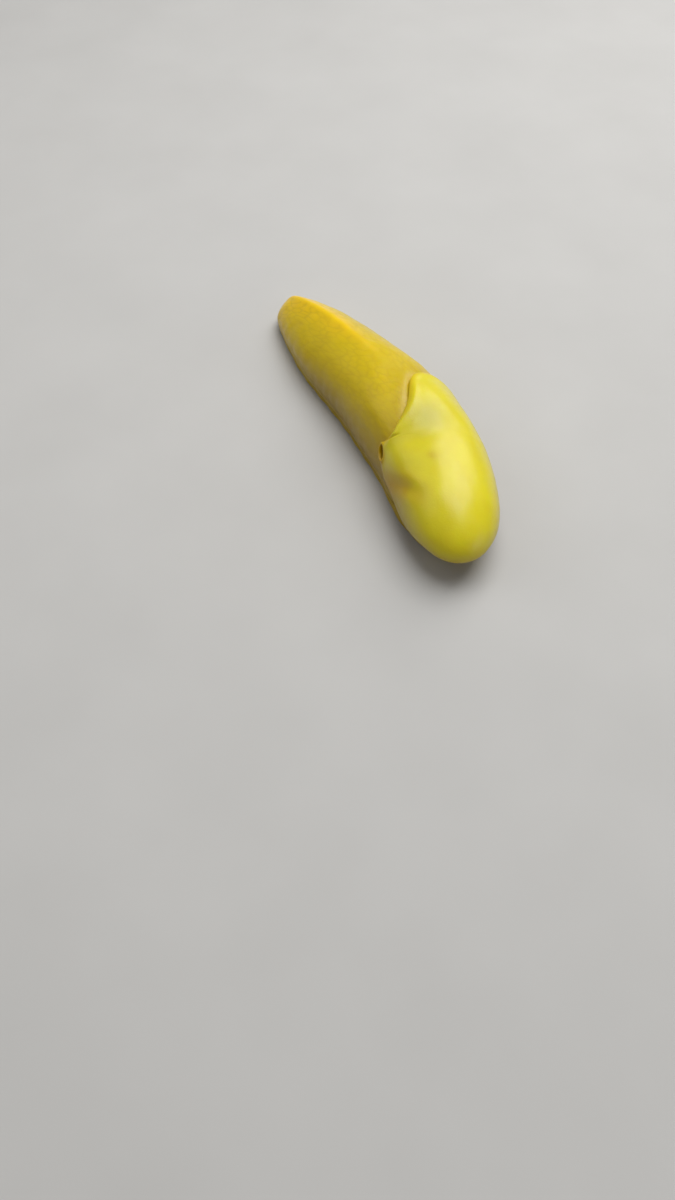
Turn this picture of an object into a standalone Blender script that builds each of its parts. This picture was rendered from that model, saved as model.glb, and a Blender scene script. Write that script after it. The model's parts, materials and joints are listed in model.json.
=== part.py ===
# Banana slug at life size, drawn in and resting on its foot.
# The head end points to -Y and the tail to +Y, +Z is up, and the sole lies at Z = 0.
# Lengths here are in millimetres, and new_object turns them into metres.
# s is the distance from the tail's tip along the body's middle line, u is the distance
# to the animal's left of that line, and z is the height.
import math

import bmesh
import bpy
import numpy as np
from mathutils import Matrix
from mathutils import Vector
from mathutils.bvhtree import BVHTree

MM = 0.001
GAP = 0.3

# The middle line on the ground: how far it runs, and how it turns to the animal's right
LENGTH = 134.2
TAIL_HEADING = 15.2
FRONT_HEADING = -15.2
BEND_FROM = 53.0
BEND_TO = 134.0
MIDDLE_X = -11.8999
MIDDLE_Y = 0.2138
PATH_SPARE = 12.0

# The outline: half widths and heights at stations along the body, how its widest place rises and
# its underside curls up in front, and its round ends
STATIONS = (0.0, 14.0, 34.0, 56.0, 78.0, 98.0, 116.0, 132.0)
HALF_WIDTHS = (5.4, 9.8, 13.7, 14.9, 16.5, 16.2, 14.6, 12.6)
HEIGHTS = (8.8, 15.4, 20.6, 23.4, 25.6, 25.2, 23.6, 20.8)
WIDEST_AT = 0.40
WIDEST_RISES = 0.15
FRONT_CURL = 5.0
TAIL_ROUND = 6.5
FRONT_ROUND = 22.0
FRONT_POWER = 2.3

# The keel: a roof-like back with a narrow crest, from the tail's tip to the mantle
KEEL_ROOF = 0.42
KEEL_SOFT = 0.08
KEEL_FADES_FROM = 30.0
KEEL_FADES_TO = 64.0
CREST_HEIGHT = 0.55
CREST_WIDTH = 1.9
CREST_SPREAD = 1.3
CREST_FADES_FROM = 50.0
TAIL_UNDERSIDE = 0.2

# Furrows between long soft swellings behind the mantle
SWELLING_LONG = 9.0
SWELLING_WIDE = 3.8
SWELLING_SLANT = 0.13
SWELLING_JITTER = 0.4
FURROW_SHARE = 0.22
FURROW_DEPTH = 0.35
SEED_TABLE = 64

# The mantle: its centre, its thickness, the line of its free margin with the swollen lip along it,
# and how the body sinks behind and under that margin
MANTLE_S = 99.0
MANTLE_Z = 8.0
EDGE_THICK = 1.1
MANTLE_THICK = 2.1
THICK_AT = 9.0
MARGIN_REAR = 70.2
MARGIN_REACH = 19.0
MARGIN_REACH_FROM = 3.0
MARGIN_REACH_SOFT = 5.5
MARGIN_REACH_EASE = 20.0
PORE_LOBE = (-70.0, 13.0, 4.2)
MARGIN_CORNER_LEFT = 25.0
MARGIN_CORNER_RIGHT = 8.0
MARGIN_CORNER_POWER = 2.2
MARGIN_WIDEST = 95.0
MARGIN_FLANK_Z = 8.4
MARGIN_CHEEK_Z = 7.2
MARGIN_FACE_Z = 9.6
MARGIN_BLEND = 2.2
MARGIN_WAVE = 0.45
STEEP_AT = (76.0, -4.0)
STEEP_CROWD = 1.8
STEEP_SPREAD = 0.22
LIP_RISE = 0.28
RIDGE = (-42.0, 15.0, 0.32)
LIP_WIDTH = 1.6
CORE_GAP = GAP + 0.15
BEHIND_DEPTH = 0.75
BEHIND_FADE = 16.0
DIVE_FROM = -1.8
DIVE_TO = -0.3

# The breathing pore, on the right of the mantle, and the slit from it down to the margin
PORE_S = 90.0
PORE_ANGLE = -70.0
PORE_LONG = 2.5
PORE_WIDE = 1.15
PORE_LEAN = 0.30
PORE_LIP = 0.5
SLIT_REACH = 3.4
SLIT_WIDE = 0.45
SLIT_DEEP = 0.7

# The plate over the hidden shell and the fold on the right flank (s, angle, half lengths along and
# round the body, rise), the saddle in front of the plate, and the crease under the fold
PLATE = (85.0, -3.0, 9.0, 40.0, 0.9)
FOLD = (97.0, -52.0, 7.0, 24.0, 0.7)
SADDLE = ((97.0, -52.0), (95.4, -34.0), (94.0, -12.0), (93.6, 6.0), (95.5, 24.0), (98.0, 40.0))
SADDLE_DEPTH = 0.5
SADDLE_WIDTH = 4.8
CREASE = ((101.0, -82.0), (107.0, -65.0), (112.5, -50.0), (116.0, -36.0))
CREASE_DEPTH = 0.4
CREASE_WIDTH = 1.9

# The foot: its thickness, its breadth as a share of the body's, where and how it ends, and its
# fringe, with the height of its edge, its slopes and its grooves
FOOT_THICK = 3.0
FOOT_SHARE = 0.95
GROOVE_SHARE = 0.88
FOOT_TAIL_END = 1.0
FOOT_FRONT_END = 125.2
FOOT_TAIL_ROUND = 6.0
FOOT_FRONT_ROUND = 24.0
FOOT_FRONT_POWER = 2.2
FRINGE_EDGE_Z = 0.8
FRINGE_SLOPE = 2.6
FRINGE_SLOPE_FRONT = 5.2
FRINGE_DEPTH = 0.32
FRINGE_NARROW = 8.0
FOOT_STEPS = 21
FOOT_TIP = 0.05
BODY_BOTTOM = FOOT_THICK + GAP
SINKS_FROM_BOTTOM = 3.0

# The lengths that the body and the foot are divided into
BODY_CUTS = (31.0, 60.0, 92.0, 112.0)
FOOT_CUTS = (31.0, 60.0, 92.0)
RING_STEP = 1.9

# The slime pore at the tail's tip: its place and radii, and the rings of the tail
TAIL_PORE = (0.1, 0.0, 5.4)
TAIL_PORE_RADII = (0.8, 1.1, 1.4)
TAIL_TIP = 0.12
TAIL_RINGS = 20

# The head, drawn back under the mantle's front
HEAD_END = 126.2
HEAD_POWER = 2.6
HEAD_NARROWS = 0.42
HEAD_AXIS_Z = 7.6
HEAD_RINGS = 13
HEAD_LAST = 0.995
CHIN_SHARE = 0.45

# The muzzle's two lobes, the lower lip and the mouth between them: how far behind the head's
# front, how far out and how high they are, and their radii across, up and forward
LOBE = (0.9, 1.3, 5.1)
LOBE_RADII = (1.5, 1.25, 1.7)
LOWER_LIP = (1.5, 0.0, 4.0)
LOWER_LIP_RADII = (1.9, 0.6, 1.2)
MOUTH = (-0.6, 0.0, 4.25)
MOUTH_RADII = (1.9, 0.26, 1.7)

# Its two pairs of tentacles, drawn in to short stalks: how far out and how high they sit, base
# radius, length, and the degrees that they turn out and tip up. The eyes sit on the upper pair
UPPER_TENTACLE = (4.3, 8.1, 1.55, 3.6, 20.0, 5.0)
LOWER_TENTACLE = (3.7, 5.1, 1.0, 2.0, 34.0, -6.0)
TENTACLE_TAPER = 0.36
TENTACLE_INSIDE = 5.0
ROOT_STAND = 0.25
TAPER_ENDS = 0.67
DOME_SHARE = 0.8
TIP_CLOSES = 0.96
EYE_RADIUS = 0.5
EYE_RISE = 0.45
EYE_TAPER = 0.1


def smooth(low, high, x):
    """0 below low, 1 above high, and an easy slope between."""
    t = np.clip((np.asarray(x, float) - low) / (high - low), 0.0, 1.0)
    return t * t * (3.0 - 2.0 * t)


def through(stations, values, x):
    """A smooth curve through the values at the stations, with no overshoot."""
    xs = np.asarray(stations, float)
    ys = np.asarray(values, float)
    slope = np.diff(ys) / np.diff(xs)
    tangent = np.concatenate([slope[:1], slope])
    both = slope[:-1] * slope[1:]
    tangent[1:-1] = np.where(both > 0, 2.0 * both / (slope[:-1] + slope[1:] + 1e-9), 0.0)
    x = np.clip(x, xs[0], xs[-1])
    i = np.clip(np.searchsorted(xs, x) - 1, 0, len(xs) - 2)
    step = xs[i + 1] - xs[i]
    t = (x - xs[i]) / step
    start = (2 * t**3 - 3 * t**2 + 1) * ys[i] + (t**3 - 2 * t**2 + t) * step * tangent[i]
    end = (3 * t**2 - 2 * t**3) * ys[i + 1] + (t**3 - t**2) * step * tangent[i + 1]
    return start + end


def middle_line():
    """Tables of s, x, y and heading along the middle line, past both ends of the body."""
    s = np.linspace(-PATH_SPARE, LENGTH + PATH_SPARE, 625)
    turn = TAIL_HEADING + (FRONT_HEADING - TAIL_HEADING) * smooth(BEND_FROM, BEND_TO, s)
    heading = np.radians(turn)
    step = s[1] - s[0]
    across = np.sin(heading)
    along = -np.cos(heading)
    x = np.concatenate([[0.0], np.cumsum((across[1:] + across[:-1]) / 2 * step)])
    y = np.concatenate([[0.0], np.cumsum((along[1:] + along[:-1]) / 2 * step)])
    x += MIDDLE_X - (x[0] + x[-1]) / 2
    y += MIDDLE_Y - (y[0] + y[-1]) / 2
    return s, x, y, heading


PATH = middle_line()


def place(s, u, z):
    """World points, in millimetres, of places given along, across and above the path."""
    x = np.interp(s, PATH[0], PATH[1])
    y = np.interp(s, PATH[0], PATH[2])
    heading = np.interp(s, PATH[0], PATH[3])
    u, z = np.broadcast_arrays(u, z)
    return np.stack([x + u * np.cos(heading), y + u * np.sin(heading), z + 0.0 * x], -1)


def unplace(points):
    """The s and u of world points."""
    x, y = points[..., 0], points[..., 1]
    s = np.interp(-y, -PATH[2], PATH[0])
    for _ in range(5):
        dx = x - np.interp(s, PATH[0], PATH[1])
        dy = y - np.interp(s, PATH[0], PATH[2])
        heading = np.interp(s, PATH[0], PATH[3])
        s = s + dx * np.sin(heading) - dy * np.cos(heading)
    dx = x - np.interp(s, PATH[0], PATH[1])
    dy = y - np.interp(s, PATH[0], PATH[2])
    heading = np.interp(s, PATH[0], PATH[3])
    return s, dx * np.cos(heading) + dy * np.sin(heading)


def half_width(s):
    return through(STATIONS, HALF_WIDTHS, s)


def height(s):
    return through(STATIONS, HEIGHTS, s)


def widest_height(s):
    """The height of the widest place. In front it lies higher, so that the front curls under."""
    return (WIDEST_AT + WIDEST_RISES * smooth(110.0, 130.0, s)) * height(s)


def undercut(s):
    """How far below its widest height the outline would close. The front curls under sooner."""
    middle = widest_height(s)
    return middle + (FRONT_CURL - middle) * smooth(114.0, 130.0, s)


def mm_per_degree(s):
    """How far a degree round the body reaches over the skin at s."""
    rise = height(s) - widest_height(s)
    return math.pi / 4 * (half_width(s) + rise) / 90.0


def around(s, u, z):
    """The angle round the body in degrees: 0 on top, 90 at the animal's left."""
    middle = widest_height(s)
    return np.degrees(np.arctan2(u / half_width(s), (z - middle) / (height(s) - middle)))


def beyond(points):
    """Below 0 inside the full outline over the mantle and flanks, and above 0 outside."""
    s, u = unplace(points)
    z = points[..., 2]
    top = height(s)
    middle = widest_height(s)
    rise = (z - middle) / np.where(z > middle, top - middle, undercut(s))
    ring = np.sqrt((u / half_width(s)) ** 2 + rise**2)
    front = np.clip(1.0 - (LENGTH - s) / FRONT_ROUND, 0.0, None)
    return ring**FRONT_POWER + front**FRONT_POWER - 1.0


def outward(points, step=0.05):
    """Unit normals of the full outline."""
    parts = []
    for axis in range(3):
        shift = np.zeros(3)
        shift[axis] = step
        parts.append(beyond(points + shift) - beyond(points - shift))
    normal = np.stack(parts, -1)
    return normal / np.linalg.norm(normal, axis=-1, keepdims=True)


def margin_reach(angle):
    """How far forward the rear margin lies at an angle, with the lobe round the breathing pore."""
    past = MARGIN_REACH_SOFT * np.log1p(np.exp((MARGIN_REACH_FROM - angle) / MARGIN_REACH_SOFT))
    forward = 1.0 - np.exp(-past / MARGIN_REACH_EASE)
    lobe = np.exp(-(((angle - PORE_LOBE[0]) / PORE_LOBE[1]) ** 2))
    return MARGIN_REACH * forward - PORE_LOBE[2] * lobe


def inside_margin(s, angle, z):
    """About how many millimetres a place lies inside the mantle's margin line."""
    share = np.clip(np.abs(angle) / MARGIN_WIDEST, 0.0, 1.0)
    bow = (1.0 - share**MARGIN_CORNER_POWER) ** (1 / MARGIN_CORNER_POWER)
    reach = margin_reach(angle)
    lean = (margin_reach(angle + 1.0) - margin_reach(angle - 1.0)) / (2.0 * mm_per_degree(s))
    left = smooth(-30.0, 30.0, angle)
    corner = MARGIN_CORNER_RIGHT + (MARGIN_CORNER_LEFT - MARGIN_CORNER_RIGHT) * left
    wave = MARGIN_WAVE * np.sin(angle / 11.0 + 1.0)
    rear = (s - (MARGIN_REAR + corner * (1.0 - bow) + reach + wave)) / np.hypot(1.0, lean)
    hem = MARGIN_FLANK_Z + (MARGIN_CHEEK_Z - MARGIN_FLANK_Z) * smooth(98.0, 116.0, s)
    hem = hem + (MARGIN_FACE_Z - MARGIN_CHEEK_Z) * smooth(120.0, 131.0, s)
    hem = hem + MARGIN_WAVE * np.sin(s / 2.3) * smooth(122.0, 112.0, s)
    across = np.sin(np.radians(angle))
    hem = hem + MARGIN_WAVE * np.sin(6.0 * across + 1.0) * smooth(116.0, 124.0, s)
    blend = np.exp(-rear / MARGIN_BLEND) + np.exp(-(z - hem) / MARGIN_BLEND)
    return -MARGIN_BLEND * np.log(blend)


def thickness(inside):
    """How thick the mantle is, by the distance inside its margin."""
    return EDGE_THICK + (MANTLE_THICK - EDGE_THICK) * smooth(0.0, THICK_AT, inside)


def core_depth(inside):
    """How far the body's own skin lies under the full outline, under and round the mantle."""
    under = smooth(DIVE_FROM, DIVE_TO, inside)
    behind = BEHIND_DEPTH * smooth(-BEHIND_FADE, -1.0, inside)
    return behind + (thickness(inside) + CORE_GAP - behind) * under


def net(along, across):
    """How much further the second nearest seed of a jittered lattice is than the nearest."""
    seeds = np.random.RandomState(7).uniform(-1.0, 1.0, (SEED_TABLE, SEED_TABLE, 2))
    first = np.full(np.shape(along), 9.0)
    second = first.copy()
    cell_a = np.floor(along).astype(int)
    cell_b = np.floor(across).astype(int)
    for step_a in (-1, 0, 1):
        for step_b in (-1, 0, 1):
            a = cell_a + step_a
            b = cell_b + step_b
            jitter = SWELLING_JITTER * seeds[a % SEED_TABLE, b % SEED_TABLE]
            seed_a = a + 0.25 + 0.5 * (b % 2) + jitter[..., 0]
            seed_b = b + 0.5 + jitter[..., 1]
            gap = np.hypot(along - seed_a, across - seed_b)
            second = np.minimum(second, np.maximum(gap, first))
            first = np.minimum(first, gap)
    return second - first


def furrow_depth(s, angle, z):
    """How deep the furrows of the back are, away from the keel, the tail's tip and the foot."""
    over = angle * mm_per_degree(s)
    slant = SWELLING_SLANT * (s - 70.0) * np.tanh(angle / 6.0)
    edge = net(s / SWELLING_LONG + 20.0, (over + slant) / SWELLING_WIDE + 40.0)
    place_share = smooth(2.0, 9.0, s) * smooth(4.0, 7.0, z) * smooth(2.0, 11.0, np.abs(angle))
    return FURROW_DEPTH * np.exp(-((edge / FURROW_SHARE) ** 2)) * place_share


def mesh_from(rings):
    """A bmesh from rings of points, its two ends closed by a face each."""
    bm = bmesh.new()
    rows = [[bm.verts.new(point) for point in ring] for ring in rings * MM]
    count = len(rows[0])
    for first, second in zip(rows[:-1], rows[1:]):
        for i in range(count):
            j = (i + 1) % count
            bm.faces.new((first[i], first[j], second[j], second[i]))
    bm.faces.new(rows[0][::-1])
    bm.faces.new(rows[-1])
    bmesh.ops.triangulate(bm, faces=[face for face in bm.faces if len(face.verts) > 4])
    bmesh.ops.recalc_face_normals(bm, faces=bm.faces)
    return bm


def new_object(name, bm, material):
    """A smooth-shaded object from a bmesh that is already in metres."""
    mesh = bpy.data.meshes.new(name)
    bm.to_mesh(mesh)
    bm.free()
    mesh.shade_smooth()
    mesh.set_sharp_from_angle(angle=math.radians(45))
    mesh.materials.append(material)
    obj = bpy.data.objects.new(name, mesh)
    bpy.context.scene.collection.objects.link(obj)
    return obj


def skin(name, colour, roughness):
    """A moist skin colour."""
    material = bpy.data.materials.new(name)
    material.use_nodes = True
    shader = material.node_tree.nodes["Principled BSDF"]
    shader.inputs["Base Color"].default_value = (*colour, 1.0)
    shader.inputs["Roughness"].default_value = roughness
    shader.inputs["Metallic"].default_value = 0.0
    return material


def ellipsoid(name, centre, radii, direction, rings=8, segments=12):
    """A closed egg shape whose local Z points along direction, for joining or cutting."""
    bm = bmesh.new()
    bmesh.ops.create_uvsphere(bm, u_segments=segments, v_segments=rings, radius=1.0)
    turn = Vector(direction).to_track_quat("Z", "Y").to_matrix().to_4x4()
    size = Matrix.Diagonal((*(radius * MM for radius in radii), 1.0))
    move = Matrix.Translation(Vector(centre) * MM)
    bmesh.ops.transform(bm, matrix=move @ turn @ size, verts=bm.verts)
    mesh = bpy.data.meshes.new(name)
    bm.to_mesh(mesh)
    bm.free()
    obj = bpy.data.objects.new(name, mesh)
    bpy.context.scene.collection.objects.link(obj)
    return obj


def combine(base, others, operation, solver="EXACT"):
    """One Boolean of base with the other objects, applied, which keeps the largest surface."""
    helpers = bpy.data.collections.new("helpers")
    bpy.context.scene.collection.children.link(helpers)
    for other in others:
        bpy.context.scene.collection.objects.unlink(other)
        helpers.objects.link(other)
    boolean = base.modifiers.new("combine", "BOOLEAN")
    boolean.operation = operation
    boolean.operand_type = "COLLECTION"
    boolean.collection = helpers
    boolean.solver = solver
    bpy.context.view_layer.update()
    graph = bpy.context.evaluated_depsgraph_get()
    mesh = bpy.data.meshes.new_from_object(base.evaluated_get(graph))
    base.modifiers.remove(boolean)
    mesh.materials.clear()
    for material in base.data.materials:
        mesh.materials.append(material)
    base.data = mesh
    for other in list(helpers.objects):
        bpy.data.objects.remove(other)
    bpy.data.collections.remove(helpers)
    keep_largest(base)


def keep_largest(obj):
    """Drops every piece of the mesh but the one with most faces."""
    bm = bmesh.new()
    bm.from_mesh(obj.data)
    unseen = set(bm.faces)
    pieces = []
    while unseen:
        piece = {unseen.pop()}
        edge_of_piece = list(piece)
        while edge_of_piece:
            face = edge_of_piece.pop()
            near = {other for edge in face.edges for other in edge.link_faces} & unseen
            unseen -= near
            piece |= near
            edge_of_piece.extend(near)
        pieces.append(piece)
    largest = max(pieces, key=len)
    scraps = [face for face in bm.faces if face not in largest]
    bmesh.ops.delete(bm, geom=scraps, context="FACES")
    bmesh.ops.recalc_face_normals(bm, faces=bm.faces)
    bm.to_mesh(obj.data)
    bm.free()
    obj.data.shade_smooth()
    obj.data.set_sharp_from_angle(angle=math.radians(45))


def body_ring(s, backs=24, flanks=5):
    """Points round the body's own skin at s, from its left bottom edge over the back."""
    tail = math.sqrt(max(1.0 - max(1.0 - s / TAIL_ROUND, 0.0) ** 2, 0.0))
    wide = float(half_width(s)) * tail
    high = float(height(s))
    middle = float(widest_height(s))
    top = middle + (high - middle) * tail
    roof = KEEL_ROOF * (1.0 - float(smooth(KEEL_FADES_FROM, KEEL_FADES_TO, s)))
    spread = np.linspace(1.0, -1.0, 2 * backs + 1)
    over = math.pi / 2 * np.sign(spread) * np.abs(spread) ** CREST_SPREAD
    side = np.sqrt(np.sin(over) ** 2 + KEEL_SOFT**2) - KEEL_SOFT
    cap = (1.0 - roof) * np.cos(over) + roof * (1.0 - side / side[0])
    back_u = wide * np.sin(over)
    back_z = middle + (top - middle) * cap
    crest = CREST_HEIGHT * tail * (1.0 - smooth(CREST_FADES_FROM, KEEL_FADES_TO, s))
    back_z = back_z + crest * np.exp(-((back_u / CREST_WIDTH) ** 2))
    down = np.linspace(0.0, math.pi / 2, flanks + 1)[1:]
    waist = GROOVE_SHARE * wide
    flank_u = waist + (wide - waist) * np.cos(down)
    reach = TAIL_UNDERSIDE + (1.0 - TAIL_UNDERSIDE) * tail
    flank_z = middle - (middle - BODY_BOTTOM) * np.sin(down) * reach
    u = np.concatenate([flank_u[::-1], back_u, -flank_u])
    z = np.concatenate([flank_z[::-1], back_z, flank_z])
    return np.full(len(u), s), u, z


def tucked(s, u, z, inside):
    """u drawn in to the full outline where the flank lies behind the mantle's hem."""
    drop = np.clip((widest_height(s) - z) / undercut(s), 0.0, 1.0)
    spare = np.clip(np.abs(u) - half_width(s) * np.sqrt(1.0 - drop**2), 0.0, None)
    return u - np.sign(u) * spare * smooth(DIVE_FROM, DIVE_TO, inside)


def body_points(s, backs=24):
    """The body's skin at s as world points, drawn in where the mantle lies over it."""
    along, u, z = body_ring(s, backs)
    angle = around(along, u, z)
    inside = inside_margin(along, angle, z)
    points = place(along, tucked(along, u, z, inside), z)
    depth = core_depth(inside) * smooth(BODY_BOTTOM, BODY_BOTTOM + SINKS_FROM_BOTTOM, z)
    depth = depth + furrow_depth(along, angle, z) * smooth(-0.5, -3.0, inside)
    return points - outward(points) * depth[:, None]


def body_length(name, start, end, backs, material):
    """One length of the body between two cuts."""
    stations = np.linspace(start, end, round((end - start) / RING_STEP) + 1)
    rings = np.array([body_points(s, backs) for s in stations])
    return new_object(name, mesh_from(rings), material)


def tail_end(name, end, material):
    """The tail, from its round tip, with the slime pore above the tip of the foot."""
    easing = 1.0 - np.cos(np.linspace(0.0, math.pi / 2, TAIL_RINGS))
    stations = TAIL_TIP + (end - TAIL_TIP) * easing
    rings = np.array([body_points(s) for s in stations])
    tail = new_object(name, mesh_from(rings), material)
    pore = ellipsoid("pore", place(*TAIL_PORE), TAIL_PORE_RADII, (0.0, 0.0, 1.0))
    combine(tail, [pore], "DIFFERENCE")
    return tail


def foot_half_width(s):
    """The half width of the foot with its fringe, round at both ends."""
    tail = np.clip(1.0 - (s - FOOT_TAIL_END) / FOOT_TAIL_ROUND, 0.0, 1.0)
    front = np.clip(1.0 - (FOOT_FRONT_END - s) / FOOT_FRONT_ROUND, 0.0, 1.0)
    ends = np.sqrt(1.0 - tail**2) * np.sqrt(1.0 - front**FOOT_FRONT_POWER)
    return FOOT_SHARE * half_width(s) * ends


def foot_ring(s, notch):
    """The foot's section at s: flat sole, thin edge drawn in by notch, and a slope up to its top."""
    half = float(foot_half_width(s))
    turn = np.radians(np.array([-90.0, -45.0, 0.0, 35.0, 65.0, 90.0]))
    slope = FRINGE_SLOPE + (FRINGE_SLOPE_FRONT - FRINGE_SLOPE) * smooth(106.0, 120.0, s)
    inset = np.where(turn > 0.0, slope, FRINGE_EDGE_Z) * (1.0 - np.cos(turn)) + notch * np.cos(turn)
    u = half - inset * min(1.0, half / FRINGE_NARROW)
    rise = np.where(turn > 0.0, FOOT_THICK - FRINGE_EDGE_Z, FRINGE_EDGE_Z)
    z = FRINGE_EDGE_Z + rise * np.sin(turn)
    return np.full(2 * len(u), s), np.concatenate([u, -u[::-1]]), np.concatenate([z, z[::-1]])


def foot(material):
    """The foot in four lengths, its fringe grooved at every other ring."""
    cuts = [FOOT_TAIL_END, *FOOT_CUTS, FOOT_FRONT_END]
    names = ("foot_tail", "foot_rear", "foot_middle", "foot_front")
    for i, name in enumerate(names):
        start = cuts[i] + (GAP / 2 if i else FOOT_TIP)
        end = cuts[i + 1] - (GAP / 2 if i < len(names) - 1 else FOOT_TIP)
        share = np.linspace(0.0, 1.0, FOOT_STEPS)
        if i == 0:
            share = 1.0 - np.cos(share * math.pi / 2)
        elif i == len(names) - 1:
            share = np.sin(share * math.pi / 2)
        stations = start + (end - start) * share
        notches = FRINGE_DEPTH * (np.arange(FOOT_STEPS) % 2)
        rings = np.array([place(*foot_ring(s, notch)) for s, notch in zip(stations, notches)])
        new_object(name, mesh_from(rings), material)


def ray_hits(origin, directions, longest=95.0):
    """Where rays from inside leave the full outline."""
    near = np.zeros(directions.shape[:-1])
    far = np.full(directions.shape[:-1], longest)
    for _ in range(34):
        middle = (near + far) / 2
        outside = beyond(origin + directions * middle[..., None]) > 0
        far = np.where(outside, middle, far)
        near = np.where(outside, near, middle)
    return origin + directions * far[..., None]


def dome_directions(bearing, slope):
    """Unit vectors at a compass bearing and an angle down from straight up."""
    flat = np.sin(slope)
    return np.stack([flat * np.sin(bearing), -flat * np.cos(bearing), np.cos(slope)], -1)


def margin_slopes(origin, bearings):
    """For each bearing, the slope at which the mantle's margin line is met."""
    low = np.full(bearings.shape, math.radians(20.0))
    high = np.full(bearings.shape, math.radians(112.0))
    for _ in range(26):
        middle = (low + high) / 2
        hits = ray_hits(origin, dome_directions(bearings, middle))
        s, u = unplace(hits)
        inside = inside_margin(s, around(s, u, hits[..., 2]), hits[..., 2]) > 0
        low = np.where(inside, middle, low)
        high = np.where(inside, high, middle)
    return low


def mantle_bearings(origin, count):
    """Bearings round the mantle, closer together where its rear margin runs steeply forward."""
    even = np.linspace(0.0, 2 * math.pi, 721)
    steep = on_outline(*STEEP_AT) - origin
    away = (even - math.atan2(steep[0], -steep[1]) + math.pi) % (2 * math.pi) - math.pi
    density = 1.0 + STEEP_CROWD * np.exp(-((away / STEEP_SPREAD) ** 2))
    run = np.concatenate([[0.0], np.cumsum((density[1:] + density[:-1]) / 2)])
    return np.interp(np.arange(count) / count, run / run[-1], even)


def mantle(material, bearings=76, rows=20):
    """The mantle: a thick flap over the back and the drawn-in head, with a free round edge."""
    origin = place(MANTLE_S, 0.0, MANTLE_Z)
    bearing = mantle_bearings(origin, bearings)
    slopes = margin_slopes(origin, bearing)
    edge_rows = 1.0 - np.array([0.055, 0.030, 0.012, 0.003, 0.0])
    shares = np.concatenate([np.linspace(0.0, 0.92, rows)[1:], edge_rows])
    slope = shares[:, None] * slopes[None, :]
    hits = ray_hits(origin, dome_directions(np.broadcast_to(bearing, slope.shape), slope))
    normal = outward(hits)
    s, u = unplace(hits)
    angle = around(s, u, hits[..., 2])
    inside = inside_margin(s, angle, hits[..., 2])
    inside[-1] = 0.0
    thick = thickness(inside)
    round_edge = EDGE_THICK / 2
    short = np.clip(round_edge - inside, 0.0, round_edge)
    sunk = round_edge - np.sqrt(round_edge**2 - short**2)
    ridge = RIDGE[2] * np.exp(-(((angle - RIDGE[0]) / RIDGE[1]) ** 2)) * smooth(100.0, 92.0, s)
    lip = (LIP_RISE + ridge) * np.exp(-(((inside - LIP_WIDTH) / LIP_WIDTH) ** 2))
    swell = mantle_swellings(s, angle) * smooth(0.0, 2.0, inside)
    outer = hits + normal * (lip - sunk + swell)[..., None]
    inner = hits - normal * (thick - sunk)[..., None]
    outer[-1] = inner[-1] = hits[-1] - normal[-1] * round_edge
    top = ray_hits(origin, np.array([0.0, 0.0, 1.0]))
    last = len(shares) - 1
    under_rows = [*range(last - 1, last - 4, -1), *range(last - 5, 0, -2), 0]
    bm = mesh_from(np.concatenate([outer, inner[under_rows]]))
    poke(bm, top, top - outward(top) * MANTLE_THICK, bearings)
    flap = new_object("mantle", bm, material)
    breathing_pore(flap)
    return flap


def ditch(s, angle, line, depth, width):
    """A soft groove over the skin along a line of (s, angle) corners, easing out at its ends."""
    scale = mm_per_degree(s)
    near = np.full(np.shape(s), 1e9)
    run = np.zeros(np.shape(s))
    for i, (start, end) in enumerate(zip(line[:-1], line[1:])):
        step_s = end[0] - start[0]
        step_q = (end[1] - start[1]) * scale
        to_s = s - start[0]
        to_q = (angle - start[1]) * scale
        t = np.clip((to_s * step_s + to_q * step_q) / (step_s**2 + step_q**2), 0.0, 1.0)
        gap = np.hypot(to_s - t * step_s, to_q - t * step_q)
        run = np.where(gap < near, (i + t) / (len(line) - 1), run)
        near = np.minimum(near, gap)
    ends = smooth(-0.02, 0.25, run) * smooth(1.02, 0.75, run)
    return -depth * np.exp(-((near / width) ** 2)) * ends


def mantle_swellings(s, angle):
    """How far the mantle's top stands above the full outline: plate, fold, saddle and crease."""
    total = ditch(s, angle, SADDLE, SADDLE_DEPTH, SADDLE_WIDTH)
    total = total + ditch(s, angle, CREASE, CREASE_DEPTH, CREASE_WIDTH)
    for (middle_s, middle_angle, long, wide, rise), power in ((PLATE, 3), (FOLD, 2)):
        along = np.abs((s - middle_s) / long)
        across = np.abs((angle - middle_angle) / wide)
        total = total + rise * np.exp(-(along**power + across**power))
    return total


def on_outline(s, angle):
    """A point of the full outline at s and an angle round the body."""
    turn = math.radians(angle)
    middle = float(widest_height(s))
    rise = float(height(s)) - middle
    return place(s, float(half_width(s)) * math.sin(turn), middle + rise * math.cos(turn))


def breathing_pore(flap):
    """The breathing pore: an oval pit with a swollen lip, and a slit down to the margin."""
    centre = on_outline(PORE_S, PORE_ANGLE)
    normal = outward(centre)
    along = on_outline(PORE_S + 1.0, PORE_ANGLE - PORE_LEAN * 10.0) - centre
    along -= normal * float(along @ normal)
    along /= np.linalg.norm(along)
    down = np.cross(normal, along)
    down *= -math.copysign(1.0, down[2])
    lip = oval_ring("lip", centre - normal * 0.15, along, down, (PORE_LONG + 0.35, PORE_WIDE + 0.35))
    combine(flap, [lip], "UNION", "MANIFOLD")
    pit = ellipsoid("pit", centre + normal * 0.2, (PORE_WIDE, PORE_WIDE, PORE_LONG), along)
    combine(flap, [pit], "DIFFERENCE", "MANIFOLD")
    low = centre + down * SLIT_REACH
    slit = ellipsoid("slit", low, (SLIT_WIDE, SLIT_DEEP, SLIT_REACH), down)
    combine(flap, [slit], "DIFFERENCE", "MANIFOLD")


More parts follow.
